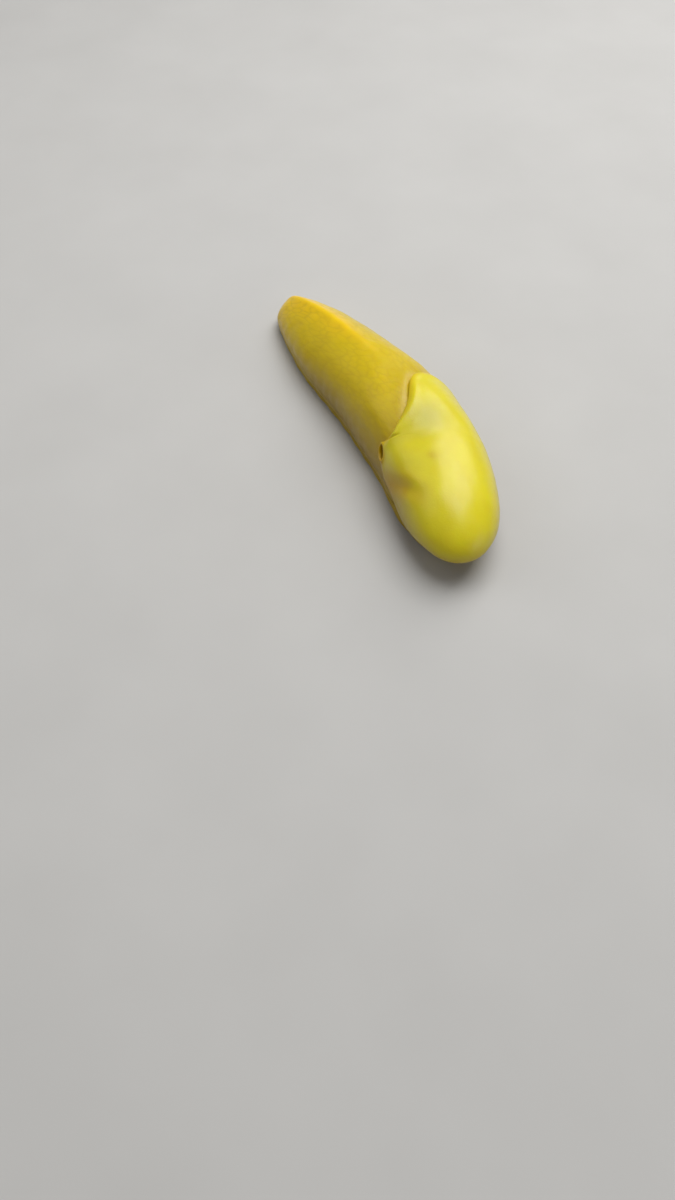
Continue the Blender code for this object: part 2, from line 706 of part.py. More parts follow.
def oval_ring(name, centre, along, down, radii, segments=20, sides=6):
    """A closed ring of round section, lying in the plane of along and down."""
    out = np.cross(along, down)
    rings = []
    for turn in np.linspace(0.0, 2 * math.pi, segments, endpoint=False):
        spoke = radii[0] * math.cos(turn) * along + radii[1] * math.sin(turn) * down
        away = spoke / np.linalg.norm(spoke)
        side = np.linspace(0.0, 2 * math.pi, sides, endpoint=False)[:, None]
        rings.append(centre + spoke + PORE_LIP * (np.cos(side) * away + np.sin(side) * out))
    bm = bmesh.new()
    rows = [[bm.verts.new(Vector(point) * MM) for point in ring] for ring in rings]
    for i in range(segments):
        first, second = rows[i], rows[(i + 1) % segments]
        for j in range(sides):
            k = (j + 1) % sides
            bm.faces.new((first[j], first[k], second[k], second[j]))
    bmesh.ops.recalc_face_normals(bm, faces=bm.faces)
    mesh = bpy.data.meshes.new(name)
    bm.to_mesh(mesh)
    bm.free()
    obj = bpy.data.objects.new(name, mesh)
    bpy.context.scene.collection.objects.link(obj)
    return obj


def poke(bm, top, under, count):
    """Turns the flat caps over the first and last ring into fans about two centre points."""
    bm.verts.ensure_lookup_table()
    total = len(bm.verts)
    for centre, first in ((top, 0), (under, total - count)):
        rim = {bm.verts[first + i] for i in range(count)}
        caps = [face for face in bm.faces if set(face.verts) <= rim]
        bmesh.ops.delete(bm, geom=caps, context="FACES_KEEP_BOUNDARY")
        bm.verts.ensure_lookup_table()
        middle = bm.verts.new(Vector(centre) * MM)
        bm.verts.ensure_lookup_table()
        for i in range(count):
            j = (i + 1) % count
            bm.faces.new((middle, bm.verts[first + i], bm.verts[first + j]))
    bmesh.ops.recalc_face_normals(bm, faces=bm.faces)


def head(material):
    """The drawn-in head under the mantle's front, with the muzzle's two lobes over the mouth."""
    start = BODY_CUTS[-1] + GAP / 2
    rings = []
    for t in np.sin(np.linspace(0.0, math.pi / 2, HEAD_RINGS)) * HEAD_LAST:
        s = start + (HEAD_END - start) * t
        points = body_points(s, backs=12)
        u = unplace(points)[1]
        shrink = (1.0 - t**HEAD_POWER) ** (1 / HEAD_POWER) * (1.0 - HEAD_NARROWS * t)
        lower = CHIN_SHARE + (1.0 - CHIN_SHARE) * shrink
        z = points[:, 2] - HEAD_AXIS_Z
        z = HEAD_AXIS_Z + z * np.where(z > 0.0, shrink, lower)
        rings.append(place(np.full(len(u), s), u * shrink, z))
    face = new_object("head", mesh_from(np.array(rings)), material)
    forward = pointing(0.0, 0.0)
    back, out, rise = LOBE
    lumps = [
        ellipsoid("lobe", place(HEAD_END - back, out * side, rise), LOBE_RADII, forward, 6, 10)
        for side in (1.0, -1.0)
    ]
    centre = place(HEAD_END - LOWER_LIP[0], *LOWER_LIP[1:])
    lumps.append(ellipsoid("lip", centre, LOWER_LIP_RADII, forward))
    combine(face, lumps, "UNION", "MANIFOLD")
    centre = place(HEAD_END - MOUTH[0], *MOUTH[1:])
    combine(face, [ellipsoid("mouth", centre, MOUTH_RADII, forward)], "DIFFERENCE", "MANIFOLD")
    return face


def pointing(spread, tip):
    """The way forward from the face, turned out by spread degrees and tipped up by tip degrees."""
    turn = float(np.interp(HEAD_END, PATH[0], PATH[3])) + math.radians(spread)
    way = np.array([math.sin(turn), -math.cos(turn), math.sin(math.radians(tip))])
    return way / np.linalg.norm(way)


def tentacle(name, face, side, spec, material, eye_material=None):
    """A drawn-in tentacle on the face, and the eye on the tip of an upper one."""
    out, high, radius, length, spread, tip = spec
    aim = pointing(spread * side, tip)
    start = place(HEAD_END, out * side, high) - aim * TENTACLE_INSIDE
    bm = bmesh.new()
    bm.from_mesh(face.data)
    tree = BVHTree.FromBMesh(bm)
    bm.free()
    hit = tree.ray_cast(Vector(start) * MM, Vector(aim))[0]
    root = np.array(hit) / MM + aim * (GAP + radius * ROOT_STAND)
    turned_knob(name, root, aim, radius, length, TENTACLE_TAPER, material)
    if eye_material:
        eye = root + aim * (length + GAP)
        eye_name = name.replace("tentacle_upper", "eye")
        turned_knob(eye_name, eye, aim, EYE_RADIUS, EYE_RISE, EYE_TAPER, eye_material, 10, 3)


def turned_knob(name, root, aim, radius, length, taper, material, segments=14, rows=6):
    """A round knob that tapers from its flat root to its domed tip."""
    side = np.cross(aim, (0.0, 0.0, 1.0))
    side /= np.linalg.norm(side)
    up = np.cross(side, aim)
    turn = np.linspace(0.0, 2 * math.pi, segments, endpoint=False)[:, None]
    circle = np.cos(turn) * side + np.sin(turn) * up
    tip_radius = radius * (1.0 - taper)
    dome = min(DOME_SHARE, tip_radius / length)
    rings = []
    for t in np.linspace(0.0, 1.0, rows + 1):
        slim = radius * (1.0 - taper * math.sin(min(1.0, t / TAPER_ENDS) * math.pi / 2))
        close = max(0.0, (t - 1.0 + dome) / dome)
        wide = slim * math.sqrt(1.0 - TIP_CLOSES * close**2)
        rings.append(root + aim * length * t + circle * wide)
    return new_object(name, mesh_from(np.array(rings)), material)


def clear_scene():
    for obj in list(bpy.data.objects):
        bpy.data.objects.remove(obj)


def main():
    clear_scene()
    back = skin("back_skin", (0.60, 0.42, 0.02), 0.35)
    shield = skin("mantle_skin", (0.66, 0.52, 0.04), 0.30)
    sole = skin("foot_skin", (0.66, 0.48, 0.12), 0.40)
    face = skin("head_skin", (0.62, 0.46, 0.05), 0.35)
    dark = skin("eye_skin", (0.02, 0.015, 0.01), 0.25)
    tail_end("tail", BODY_CUTS[0] - GAP / 2, back)
    names = ("body_rear", "body_middle", "body_front")
    for name, start, end, backs in zip(names, BODY_CUTS[:-1], BODY_CUTS[1:], (24, 24, 16)):
        body_length(name, start + GAP / 2, end - GAP / 2, backs, back)
    mantle(shield)
    front = head(face)
    for name, side in (("left", 1.0), ("right", -1.0)):
        tentacle(f"tentacle_upper_{name}", front, side, UPPER_TENTACLE, face, dark)
        tentacle(f"tentacle_lower_{name}", front, side, LOWER_TENTACLE, face)
    foot(sole)


main()
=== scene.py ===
# %% [markdown]
# # A banana slug at life size
# The animal rests on its foot with its head drawn in, as a slug does when it is disturbed or dry. The
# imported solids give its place, its length and its divisions. Here one continuous skin takes their place,
# with the folds, grooves and wet shine that make it look alive.
# The lesson first loads the frame, then sets the camera, builds the skin form by form, joins the forms,
# paints them, and lights the scene.

import json
import math

import bmesh
import bpy
import numpy as np
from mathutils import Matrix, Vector

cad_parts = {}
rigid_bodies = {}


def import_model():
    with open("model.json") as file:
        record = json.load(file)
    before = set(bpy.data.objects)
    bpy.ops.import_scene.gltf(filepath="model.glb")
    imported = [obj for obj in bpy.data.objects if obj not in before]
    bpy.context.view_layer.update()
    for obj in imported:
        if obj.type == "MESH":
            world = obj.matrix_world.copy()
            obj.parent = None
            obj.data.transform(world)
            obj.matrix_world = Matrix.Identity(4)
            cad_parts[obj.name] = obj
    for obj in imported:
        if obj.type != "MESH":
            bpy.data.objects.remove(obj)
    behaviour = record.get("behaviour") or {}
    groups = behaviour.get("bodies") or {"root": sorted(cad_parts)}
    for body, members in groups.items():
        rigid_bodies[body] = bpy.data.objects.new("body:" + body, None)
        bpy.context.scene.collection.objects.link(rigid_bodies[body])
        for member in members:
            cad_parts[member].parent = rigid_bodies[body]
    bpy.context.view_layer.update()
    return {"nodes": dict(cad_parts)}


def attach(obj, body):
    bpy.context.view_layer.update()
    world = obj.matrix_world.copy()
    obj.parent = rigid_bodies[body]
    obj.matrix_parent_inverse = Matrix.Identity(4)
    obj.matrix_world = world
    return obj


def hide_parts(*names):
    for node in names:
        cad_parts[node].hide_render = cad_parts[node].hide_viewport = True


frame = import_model()
print("CAD nodes:", sorted(frame["nodes"]))

# %% [markdown]
# ## Camera
# The photograph looks down on the slug from its front right. A camera is four decisions: where it
# stands, where it points, how wide it sees and how it is cropped. The values come from laying the
# solids' outline over the animal's outline until both agreed. The lens is a wide one, and there is no
# shift and no depth of field, so that any other view of the model stays true.

# %% Camera
CAMERA_PLACE = (-0.0802, -0.1923, 0.2151)
CAMERA_DOWN = 57.0
CAMERA_TURN = -18.07
LENS_MM = 26.4
SENSOR_MM = 36.0

bpy.ops.object.camera_add(location=CAMERA_PLACE)
camera = bpy.context.object
camera.name = "camera"
camera.rotation_euler = (math.radians(90.0 - CAMERA_DOWN), 0.0, math.radians(CAMERA_TURN))
camera.data.lens = LENS_MM
camera.data.sensor_width = SENSOR_MM
camera.data.clip_start = 0.005
camera.data.dof.use_dof = False
bpy.context.scene.camera = camera
print("camera stands", round(camera.location.z * 1000), "mm above the floor")

# %% [markdown]
# ## The middle line
# A slug has no bones, so its pose is the curve of its middle line. All forms are shaped in the straight
# measures of the body and bent at the end: s runs from the tail's tip to the front, u goes to the
# animal's left and z up, all in millimetres. The line turns smoothly from the tail's heading to the
# front's, which is the gentle bend to the animal's right in the photograph.

# %% Measures of the pose
MM = 0.001
LENGTH = 134.2
TAIL_HEADING = 15.2
FRONT_HEADING = -15.2
BEND_FROM = 53.0
BEND_TO = 134.0
MIDDLE_X = -11.8999
MIDDLE_Y = 0.2138
PATH_SPARE = 12.0


def smooth(low, high, x):
    """0 below low, 1 above high, and an easy slope between."""
    t = np.clip((np.asarray(x, float) - low) / (high - low), 0.0, 1.0)
    return t * t * (3.0 - 2.0 * t)


def hill(x, middle, width):
    """A smooth hill of height 1 at middle, which falls to about a third at width from it."""
    return np.exp(-(((x - middle) / width) ** 2))


def middle_line():
    """Tables of s, x, y and heading along the middle line, past both ends of the body."""
    s = np.linspace(-PATH_SPARE, LENGTH + PATH_SPARE, 625)
    turn = TAIL_HEADING + (FRONT_HEADING - TAIL_HEADING) * smooth(BEND_FROM, BEND_TO, s)
    heading = np.radians(turn)
    step = s[1] - s[0]
    across = np.sin(heading)
    along = -np.cos(heading)
    x = np.concatenate([[0.0], np.cumsum((across[1:] + across[:-1]) / 2 * step)])
    y = np.concatenate([[0.0], np.cumsum((along[1:] + along[:-1]) / 2 * step)])
    x += MIDDLE_X - (x[0] + x[-1]) / 2
    y += MIDDLE_Y - (y[0] + y[-1]) / 2
    return s, x, y, heading


PATH = middle_line()


def heading_at(s):
    return float(np.interp(s, PATH[0], PATH[3]))


def place(s, u, z):
    """World points, in millimetres, of places given along, across and above the middle line."""
    x = np.interp(s, PATH[0], PATH[1])
    y = np.interp(s, PATH[0], PATH[2])
    heading = np.interp(s, PATH[0], PATH[3])
    return np.stack([x + u * np.cos(heading), y + u * np.sin(heading), z + 0.0 * x], -1)


def unplace(points):
    """The s and u of world points."""
    x, y = points[..., 0], points[..., 1]
    s = np.interp(-y, -PATH[2], PATH[0])
    for _ in range(5):
        dx = x - np.interp(s, PATH[0], PATH[1])
        dy = y - np.interp(s, PATH[0], PATH[2])
        heading = np.interp(s, PATH[0], PATH[3])
        s = s + dx * np.sin(heading) - dy * np.cos(heading)
    dx = x - np.interp(s, PATH[0], PATH[1])
    dy = y - np.interp(s, PATH[0], PATH[2])
    heading = np.interp(s, PATH[0], PATH[3])
    return s, dx * np.cos(heading) + dy * np.sin(heading)


print("the line turns", round(TAIL_HEADING - FRONT_HEADING), "degrees over", LENGTH, "mm")

# %% [markdown]
# ## The full outline
# The body's size is read at eight stations: half width and height. A smooth curve that never
# overshoots runs through them. The section is round on top and pulls in below the widest place, and the
# front end closes like a blunt dome. The result is a function that tells for any point whether it lies
# inside the slug, and every later form is measured from it.

# %% Outline
STATIONS = (0.0, 14.0, 34.0, 56.0, 78.0, 98.0, 116.0, 132.0)
HALF_WIDTHS = (5.4, 9.8, 13.7, 14.9, 16.5, 16.2, 14.6, 12.6)
HEIGHTS = (8.8, 15.4, 20.6, 23.4, 25.6, 25.2, 23.6, 20.8)
WIDEST_AT = 0.40
WIDEST_RISES = 0.15
RISES_FROM, RISES_TO = 110.0, 130.0
FRONT_CURL = 5.0
CURLS_FROM = 114.0
TAIL_ROUND = 6.5
FRONT_ROUND = 22.0
FRONT_POWER = 2.3


def through(stations, values, x):
    """A smooth curve through the values at the stations, with no overshoot."""
    xs = np.asarray(stations, float)
    ys = np.asarray(values, float)
    slope = np.diff(ys) / np.diff(xs)
    tangent = np.concatenate([slope[:1], slope])
    both = slope[:-1] * slope[1:]
    tangent[1:-1] = np.where(both > 0, 2.0 * both / (slope[:-1] + slope[1:] + 1e-9), 0.0)
    x = np.clip(x, xs[0], xs[-1])
    i = np.clip(np.searchsorted(xs, x) - 1, 0, len(xs) - 2)
    step = xs[i + 1] - xs[i]
    t = (x - xs[i]) / step
    start = (2 * t**3 - 3 * t**2 + 1) * ys[i] + (t**3 - 2 * t**2 + t) * step * tangent[i]
    end = (3 * t**2 - 2 * t**3) * ys[i + 1] + (t**3 - t**2) * step * tangent[i + 1]
    return start + end


def half_width(s):
    return through(STATIONS, HALF_WIDTHS, s)


def height(s):
    return through(STATIONS, HEIGHTS, s)


def widest_height(s):
    """How high above the ground the body is widest. In front this lies higher, so the front curls under."""
    return (WIDEST_AT + WIDEST_RISES * smooth(RISES_FROM, RISES_TO, s)) * height(s)


def undercut(s):
    """How far below its widest height the outline would close. The front curls under sooner."""
    middle = widest_height(s)
    return middle + (FRONT_CURL - middle) * smooth(CURLS_FROM, RISES_TO, s)


def around(s, u, z):
    """The angle round the body in degrees: 0 on top, 90 at the animal's left."""
    middle = widest_height(s)
    return np.degrees(np.arctan2(u / half_width(s), (z - middle) / (height(s) - middle)))


def mm_per_degree(s):
    """How far a degree round the body reaches over the skin at s."""
    rise = height(s) - widest_height(s)
    return math.pi / 4 * (half_width(s) + rise) / 90.0


def beyond(points):
    """Below 0 inside the full outline over the mantle and flanks, and above 0 outside."""
    s, u = unplace(points)
    z = points[..., 2]
    top = height(s)
    middle = widest_height(s)
    rise = (z - middle) / np.where(z > middle, top - middle, undercut(s))
    ring = np.sqrt((u / half_width(s)) ** 2 + rise**2)
    front = np.clip(1.0 - (LENGTH - s) / FRONT_ROUND, 0.0, None)
    return ring**FRONT_POWER + front**FRONT_POWER - 1.0


def outward(points, step=0.05):
    """Unit normals of the full outline."""
    parts = []
    for axis in range(3):
        shift = np.zeros(3)
        shift[axis] = step
        parts.append(beyond(points + shift) - beyond(points - shift))
    normal = np.stack(parts, -1)
    return normal / np.linalg.norm(normal, axis=-1, keepdims=True)


def on_outline(s, angle):
    """A point of the full outline at s and an angle round the body."""
    turn = math.radians(angle)
    middle = float(widest_height(s))
    rise = float(height(s)) - middle
    return place(s, float(half_width(s)) * math.sin(turn), middle + rise * math.cos(turn))


print("widest", 2 * max(HALF_WIDTHS), "mm, highest", max(HEIGHTS), "mm")

# %% [markdown]
# ## The mantle's margin line
# The mantle is the smooth saddle over the front half. Behind, it ends in a free, raised margin that lies
# furthest back at the crest. On the right it runs steeply forward from there, eases off further down,
# and bows back in a lobe round the breathing pore. Along the flanks its edge hangs down like a hem, and
# in front it lifts a little over the face. One function says how far inside the margin a place lies.
# The mantle's thickness, the lip along its edge and the groove under it all follow from that distance,
# so they stay together wherever the line goes.

# %% Margin line
MARGIN_REAR = 70.2
MARGIN_REACH = 19.0
MARGIN_REACH_FROM = 3.0
MARGIN_REACH_SOFT = 5.5
MARGIN_REACH_EASE = 20.0
PORE_LOBE = (-70.0, 13.0, 4.2)
MARGIN_CORNER_LEFT = 25.0
MARGIN_CORNER_RIGHT = 8.0
MARGIN_CORNER_POWER = 2.2
MARGIN_CORNER_TURN = 30.0
MARGIN_WIDEST = 95.0
MARGIN_FLANK_Z = 8.4
MARGIN_CHEEK_Z = 7.2
MARGIN_FACE_Z = 9.6
MARGIN_BLEND = 2.2
MARGIN_WAVE = 0.45
WAVE_DEGREES = 11.0
WAVE_MM = 2.3
WAVE_FACE = 6.0
CHEEK_FROM, CHEEK_TO = 98.0, 116.0
FACE_FROM, FACE_TO = 120.0, 131.0
EDGE_THICK = 1.1
MANTLE_THICK = 2.1
THICK_AT = 9.0
LIP_RISE = 0.28
RIDGE = (-42.0, 15.0, 0.32)
LIP_WIDTH = 1.6
SINK_UNDER = 0.4
FREE_EDGE = 3.2
BEHIND_DEPTH = 0.75
BEHIND_FADE = 16.0
DIVE_FROM = -1.1
DIVE_TO = 0.1


def margin_reach(angle):
    """How far forward the rear margin lies at an angle, with the lobe round the breathing pore."""
    past = MARGIN_REACH_SOFT * np.log1p(np.exp((MARGIN_REACH_FROM - angle) / MARGIN_REACH_SOFT))
    forward = 1.0 - np.exp(-past / MARGIN_REACH_EASE)
    lobe = hill(angle, PORE_LOBE[0], PORE_LOBE[1])
    return MARGIN_REACH * forward - PORE_LOBE[2] * lobe


def inside_margin(s, angle, z):
    """About how many millimetres a place lies inside the mantle's margin line."""
    share = np.clip(np.abs(angle) / MARGIN_WIDEST, 0.0, 1.0)
    bow = (1.0 - share**MARGIN_CORNER_POWER) ** (1 / MARGIN_CORNER_POWER)
    reach = margin_reach(angle)
    lean = (margin_reach(angle + 1.0) - margin_reach(angle - 1.0)) / (2.0 * mm_per_degree(s))
    left = smooth(-MARGIN_CORNER_TURN, MARGIN_CORNER_TURN, angle)
    corner = MARGIN_CORNER_RIGHT + (MARGIN_CORNER_LEFT - MARGIN_CORNER_RIGHT) * left
    wave = MARGIN_WAVE * np.sin(angle / WAVE_DEGREES + 1.0)
    rear = (s - (MARGIN_REAR + corner * (1.0 - bow) + reach + wave)) / np.hypot(1.0, lean)
    hem = MARGIN_FLANK_Z + (MARGIN_CHEEK_Z - MARGIN_FLANK_Z) * smooth(CHEEK_FROM, CHEEK_TO, s)
    hem = hem + (MARGIN_FACE_Z - MARGIN_CHEEK_Z) * smooth(FACE_FROM, FACE_TO, s)
    hem = hem + MARGIN_WAVE * np.sin(s / WAVE_MM) * smooth(122.0, 112.0, s)
    across = np.sin(np.radians(angle))
    hem = hem + MARGIN_WAVE * np.sin(WAVE_FACE * across + 1.0) * smooth(116.0, 124.0, s)
    blend = np.exp(-rear / MARGIN_BLEND) + np.exp(-(z - hem) / MARGIN_BLEND)
    return -MARGIN_BLEND * np.log(blend)


def thickness(inside):
    """How thick the mantle is, by the distance inside its margin."""
    return EDGE_THICK + (MANTLE_THICK - EDGE_THICK) * smooth(0.0, THICK_AT, inside)


def core_depth(inside):
    """How far the trunk's skin lies under the full outline. Past the free edge the two grow together."""
    under = smooth(DIVE_FROM, DIVE_TO, inside)
    behind = BEHIND_DEPTH * smooth(-BEHIND_FADE, -1.0, inside)
    grown = SINK_UNDER - (2 * SINK_UNDER + 0.2) * smooth(FREE_EDGE - 1.0, FREE_EDGE + 1.0, inside)
    return behind + (thickness(inside) + grown - behind) * under


def tucked(s, u, z, inside):
    """u drawn in to the full outline where the flank lies behind the mantle's hem."""
    drop = np.clip((widest_height(s) - z) / undercut(s), 0.0, 1.0)
    spare = np.clip(np.abs(u) - half_width(s) * np.sqrt(1.0 - drop**2), 0.0, None)
    return u - np.sign(u) * spare * smooth(DIVE_FROM, DIVE_TO, inside)


print("the mantle is", EDGE_THICK, "mm thick at its edge and", MANTLE_THICK, "mm inside")

# %% [markdown]
# ## Helpers for shaping
# Each form starts as a primitive and is then pushed into shape point by point, as a sculptor would push
# clay. These helpers add a ball, read and write its points, give soft noise for the unevenness of flesh,
# and store a number on every point that the paint reads later.

# %% Helpers
NOISE_CELLS = 32
noise_table = np.random.RandomState(3).uniform(-1.0, 1.0, (NOISE_CELLS,) * 3)


def cloud(points, size, shift=0.0):
    """Soft noise from -1 to 1 that changes over about size millimetres."""
    spot = points / size + 100.0 + shift
    low = np.floor(spot).astype(int)
    part = spot - low
    part = part * part * (3.0 - 2.0 * part)
    total = 0.0
    for i in (0, 1):
        for j in (0, 1):
            for k in (0, 1):
                step = np.array([i, j, k])
                weight = np.abs(1.0 - step - part).prod(-1)
                cell = (low + step) % NOISE_CELLS
                total = total + weight * noise_table[cell[..., 0], cell[..., 1], cell[..., 2]]
    return total


def take(obj):
    """Makes obj the only selected object and the active one."""
    bpy.ops.object.select_all(action="DESELECT")
    obj.select_set(True)
    bpy.context.view_layer.objects.active = obj


def start_ball(name, segments, rings):
    """A unit ball as a new object, with nothing else selected."""
    bpy.ops.object.select_all(action="DESELECT")
    bpy.ops.mesh.primitive_uv_sphere_add(segments=segments, ring_count=rings, radius=1.0)
    ball = bpy.context.object
    ball.name = name
    return ball


def read_points(obj, what="co"):
    """The object's points, or their normals, as an array."""
    values = np.empty(3 * len(obj.data.vertices))
    obj.data.vertices.foreach_get(what, values)
    return values.reshape(-1, 3)


def write_points(obj, points):
    obj.data.vertices.foreach_set("co", np.ascontiguousarray(points, float).ravel())
    obj.data.update()


def ball_shares(ball):
    """For each point: its share of the way from the lower pole to the upper, and its turn, -1 to 1."""
    co = read_points(ball)
    from_pole = np.arccos(np.clip(-co[:, 2], -1.0, 1.0)) / np.pi
    turn = np.arctan2(co[:, 0], co[:, 1]) / np.pi
    return from_pole, turn


def store(obj, name, values):
    """Keeps one number on every point under a name, for the paint to read."""
    layer = obj.data.attributes.get(name) or obj.data.attributes.new(name, "FLOAT", "POINT")
    layer.data.foreach_set("value", np.ascontiguousarray(values, np.float32))


def recall(obj, name):
    values = np.empty(len(obj.data.vertices), np.float32)
    obj.data.attributes[name].data.foreach_get("value", values)
    return values


def face_outwards(obj):
    """Turns all faces of a closed piece outwards."""
    bm = bmesh.new()
    bm.from_mesh(obj.data)
    bmesh.ops.recalc_face_normals(bm, faces=bm.faces)
    bm.to_mesh(obj.data)
    bm.free()


def boolean(base, other, operation):
    """One applied Boolean of base with other, which is then removed."""
    modifier = base.modifiers.new("join", "BOOLEAN")
    modifier.operation = operation
    modifier.object = other
    modifier.solver = "MANIFOLD"
    take(base)
    bpy.ops.object.modifier_apply(modifier=modifier.name)
    bpy.data.objects.remove(other)


print("noise table of", noise_table.size, "cells")

# %% [markdown]
# ## The network of grooves
# Behind the mantle a banana slug's skin is divided into long, soft swellings by a net of fine grooves,
# which carry slime over the body. They can be carved by hand, but a rule does it evenly: seeds are
# scattered on a stretched lattice over the back, each place belongs to its nearest seed, and a groove
# runs where two seeds are almost equally near. The seeds come from a fixed random number.

# %% Groove pattern
CELL_LONG = 5.4
CELL_WIDE = 1.75
CELL_SLANT = 0.13
CELL_JITTER = 0.45
CELL_WANDER = 0.5
GROOVE_WIDE = 0.17
GROOVE_POWER = 1.3
SLANT_MIDDLE = 70.0
SLANT_TURN = 6.0
SEED_TABLE = 64
seeds = np.random.RandomState(7).uniform(-1.0, 1.0, (SEED_TABLE, SEED_TABLE, 2))


def net(along, across):
    """How much further the second nearest seed is than the nearest."""
    first = np.full(np.shape(along), 9.0)
    second = first.copy()
    cell_a = np.floor(along).astype(int)
    cell_b = np.floor(across).astype(int)
    for step_a in (-1, 0, 1):
        for step_b in (-1, 0, 1):
            a = cell_a + step_a
            b = cell_b + step_b
            jitter = CELL_JITTER * seeds[a % SEED_TABLE, b % SEED_TABLE]
            seed_a = a + 0.25 + 0.5 * (b % 2) + jitter[..., 0]
            seed_b = b + 0.5 + jitter[..., 1]
            gap = np.hypot(along - seed_a, across - seed_b)
            second = np.minimum(second, np.maximum(gap, first))
            first = np.minimum(first, gap)
    return second - first


def back_net(s, angle):
    """The net over the back: 0 in a groove and 1 on a swelling."""
    over = angle * mm_per_degree(s)
    flat = np.stack([s, over, 0.0 * s], -1)
    along = s / CELL_LONG + 20.0 + CELL_WANDER * cloud(flat, 8.0)
    across = (over + CELL_SLANT * (s - SLANT_MIDDLE) * np.tanh(angle / SLANT_TURN)) / CELL_WIDE + 40.0
    across = across + CELL_WANDER * cloud(flat, 8.0, 7.0)
    groove = np.exp(-((net(along, across) / GROOVE_WIDE) ** GROOVE_POWER))
    return 1.0 - groove * (0.72 + 0.28 * cloud(flat, 5.0, 3.0))


print("swellings about", CELL_LONG, "by", CELL_WIDE, "mm")

# %% [markdown]
# ## The foot's outline and its fringe
# The slug glides on a broad foot whose edge, the fringe, stands out all round and is ruled with fine
# upright grooves. The grooves go on up the flank to the pedal groove, so the flank and the foot have to
# agree on where they are. Both read the distance run along the foot's edge.

# %% Foot's outline
FOOT_THICK = 3.0
FOOT_SHARE = 0.95
FOOT_TAIL_END = 1.0
FOOT_FRONT_END = 125.2
FOOT_TAIL_ROUND = 6.0
FOOT_FRONT_ROUND = 24.0
FOOT_FRONT_POWER = 2.2
FRINGE_PITCH = 1.8
FRINGE_WANDER = 0.35
WANDER_LONG = 3.1


def foot_half_width(s):
    """The half width of the foot with its fringe, round at both ends."""
    tail = np.clip(1.0 - (s - FOOT_TAIL_END) / FOOT_TAIL_ROUND, 0.0, 1.0)
    front = np.clip(1.0 - (FOOT_FRONT_END - s) / FOOT_FRONT_ROUND, 0.0, 1.0)
    ends = np.sqrt(1.0 - tail**2) * np.sqrt(1.0 - front**FOOT_FRONT_POWER)
    return FOOT_SHARE * half_width(s) * ends


def foot_side():
    """One side of the foot's edge: s, u and the distance run from the tail."""
    t = np.linspace(0.0, 1.0, 3001)
    s = FOOT_TAIL_END + (FOOT_FRONT_END - FOOT_TAIL_END) * (0.5 - 0.5 * np.cos(np.pi * t))
    u = foot_half_width(s)
    run = np.concatenate([[0.0], np.cumsum(np.hypot(np.diff(s), np.diff(u)))])
    return s, u, run


FOOT_SIDE = foot_side()
FOOT_ROUND = 2.0 * FOOT_SIDE[2][-1]


def foot_outline(count):
    """Even places round the foot's outline, the way inward there, and the distance run."""
    side_s, side_u, side_run = FOOT_SIDE
    s = np.concatenate([side_s, side_s[-2::-1]])
    u = np.concatenate([side_u, -side_u[-2::-1]])
    run = np.concatenate([side_run, FOOT_ROUND - side_run[-2::-1]])
    even = np.linspace(0.0, FOOT_ROUND, count + 1)[:-1]
    s = np.interp(even, run, s)
    u = np.interp(even, run, u)
    ahead_s = np.roll(s, -1) - np.roll(s, 1)
    ahead_u = np.roll(u, -1) - np.roll(u, 1)
    size = np.hypot(ahead_s, ahead_u)
    return s, u, ahead_u / size, -ahead_s / size, even


def flank_run(s, u):
    """The distance run along the foot's edge beside a place on the flank."""
    run = np.interp(s, FOOT_SIDE[0], FOOT_SIDE[2])
    return np.where(u > 0, run, FOOT_ROUND - run)


def wandering(run):
    """The distance run with a slow wander, so that the grooves aren't ruled like a comb."""
    return run + FRINGE_WANDER * FRINGE_PITCH * np.sin(run / WANDER_LONG)


def fringe_groove(run):
    """1 in an upright groove of the fringe and 0 between, some grooves fainter than others."""
    groove = (0.5 + 0.5 * np.cos(2 * np.pi * wandering(run) / FRINGE_PITCH)) ** 2
    return groove * (0.65 + 0.35 * np.sin(run * 1.7) * np.sin(run * 0.41))


print("the foot's edge is", round(FOOT_ROUND), "mm round")

# %% [markdown]
# ## Trunk
# The trunk starts as a ball whose two poles become the tail's tip and the front. Each of its points
# keeps its direction: how far it lies from the first pole gives s, and its turn about the axis gives
# the place round the body. That is what a sculptor does by pulling a ball of clay into a long form, and
# it leaves one closed surface with no seam. Rings are set closer where the skin will show.

# %% Trunk's section
KEEL_ROOF = 0.42
KEEL_SOFT = 0.08
KEEL_FADES_FROM = 30.0
KEEL_FADES_TO = 64.0
CREST_HEIGHT = 0.55
CREST_WIDTH = 1.9
CREST_FADES_FROM = 50.0
DENSER_ON_CREST = 1.12
TAIL_UNDERSIDE = 0.2
GROOVE_SHARE = 0.88
TRUNK_BOTTOM = 1.6
BACK_SHARE = 0.70
FLANK_SHARE = 0.93
TRUNK_END = 120.0
TRUNK_FRONT_ROUND = 26.0


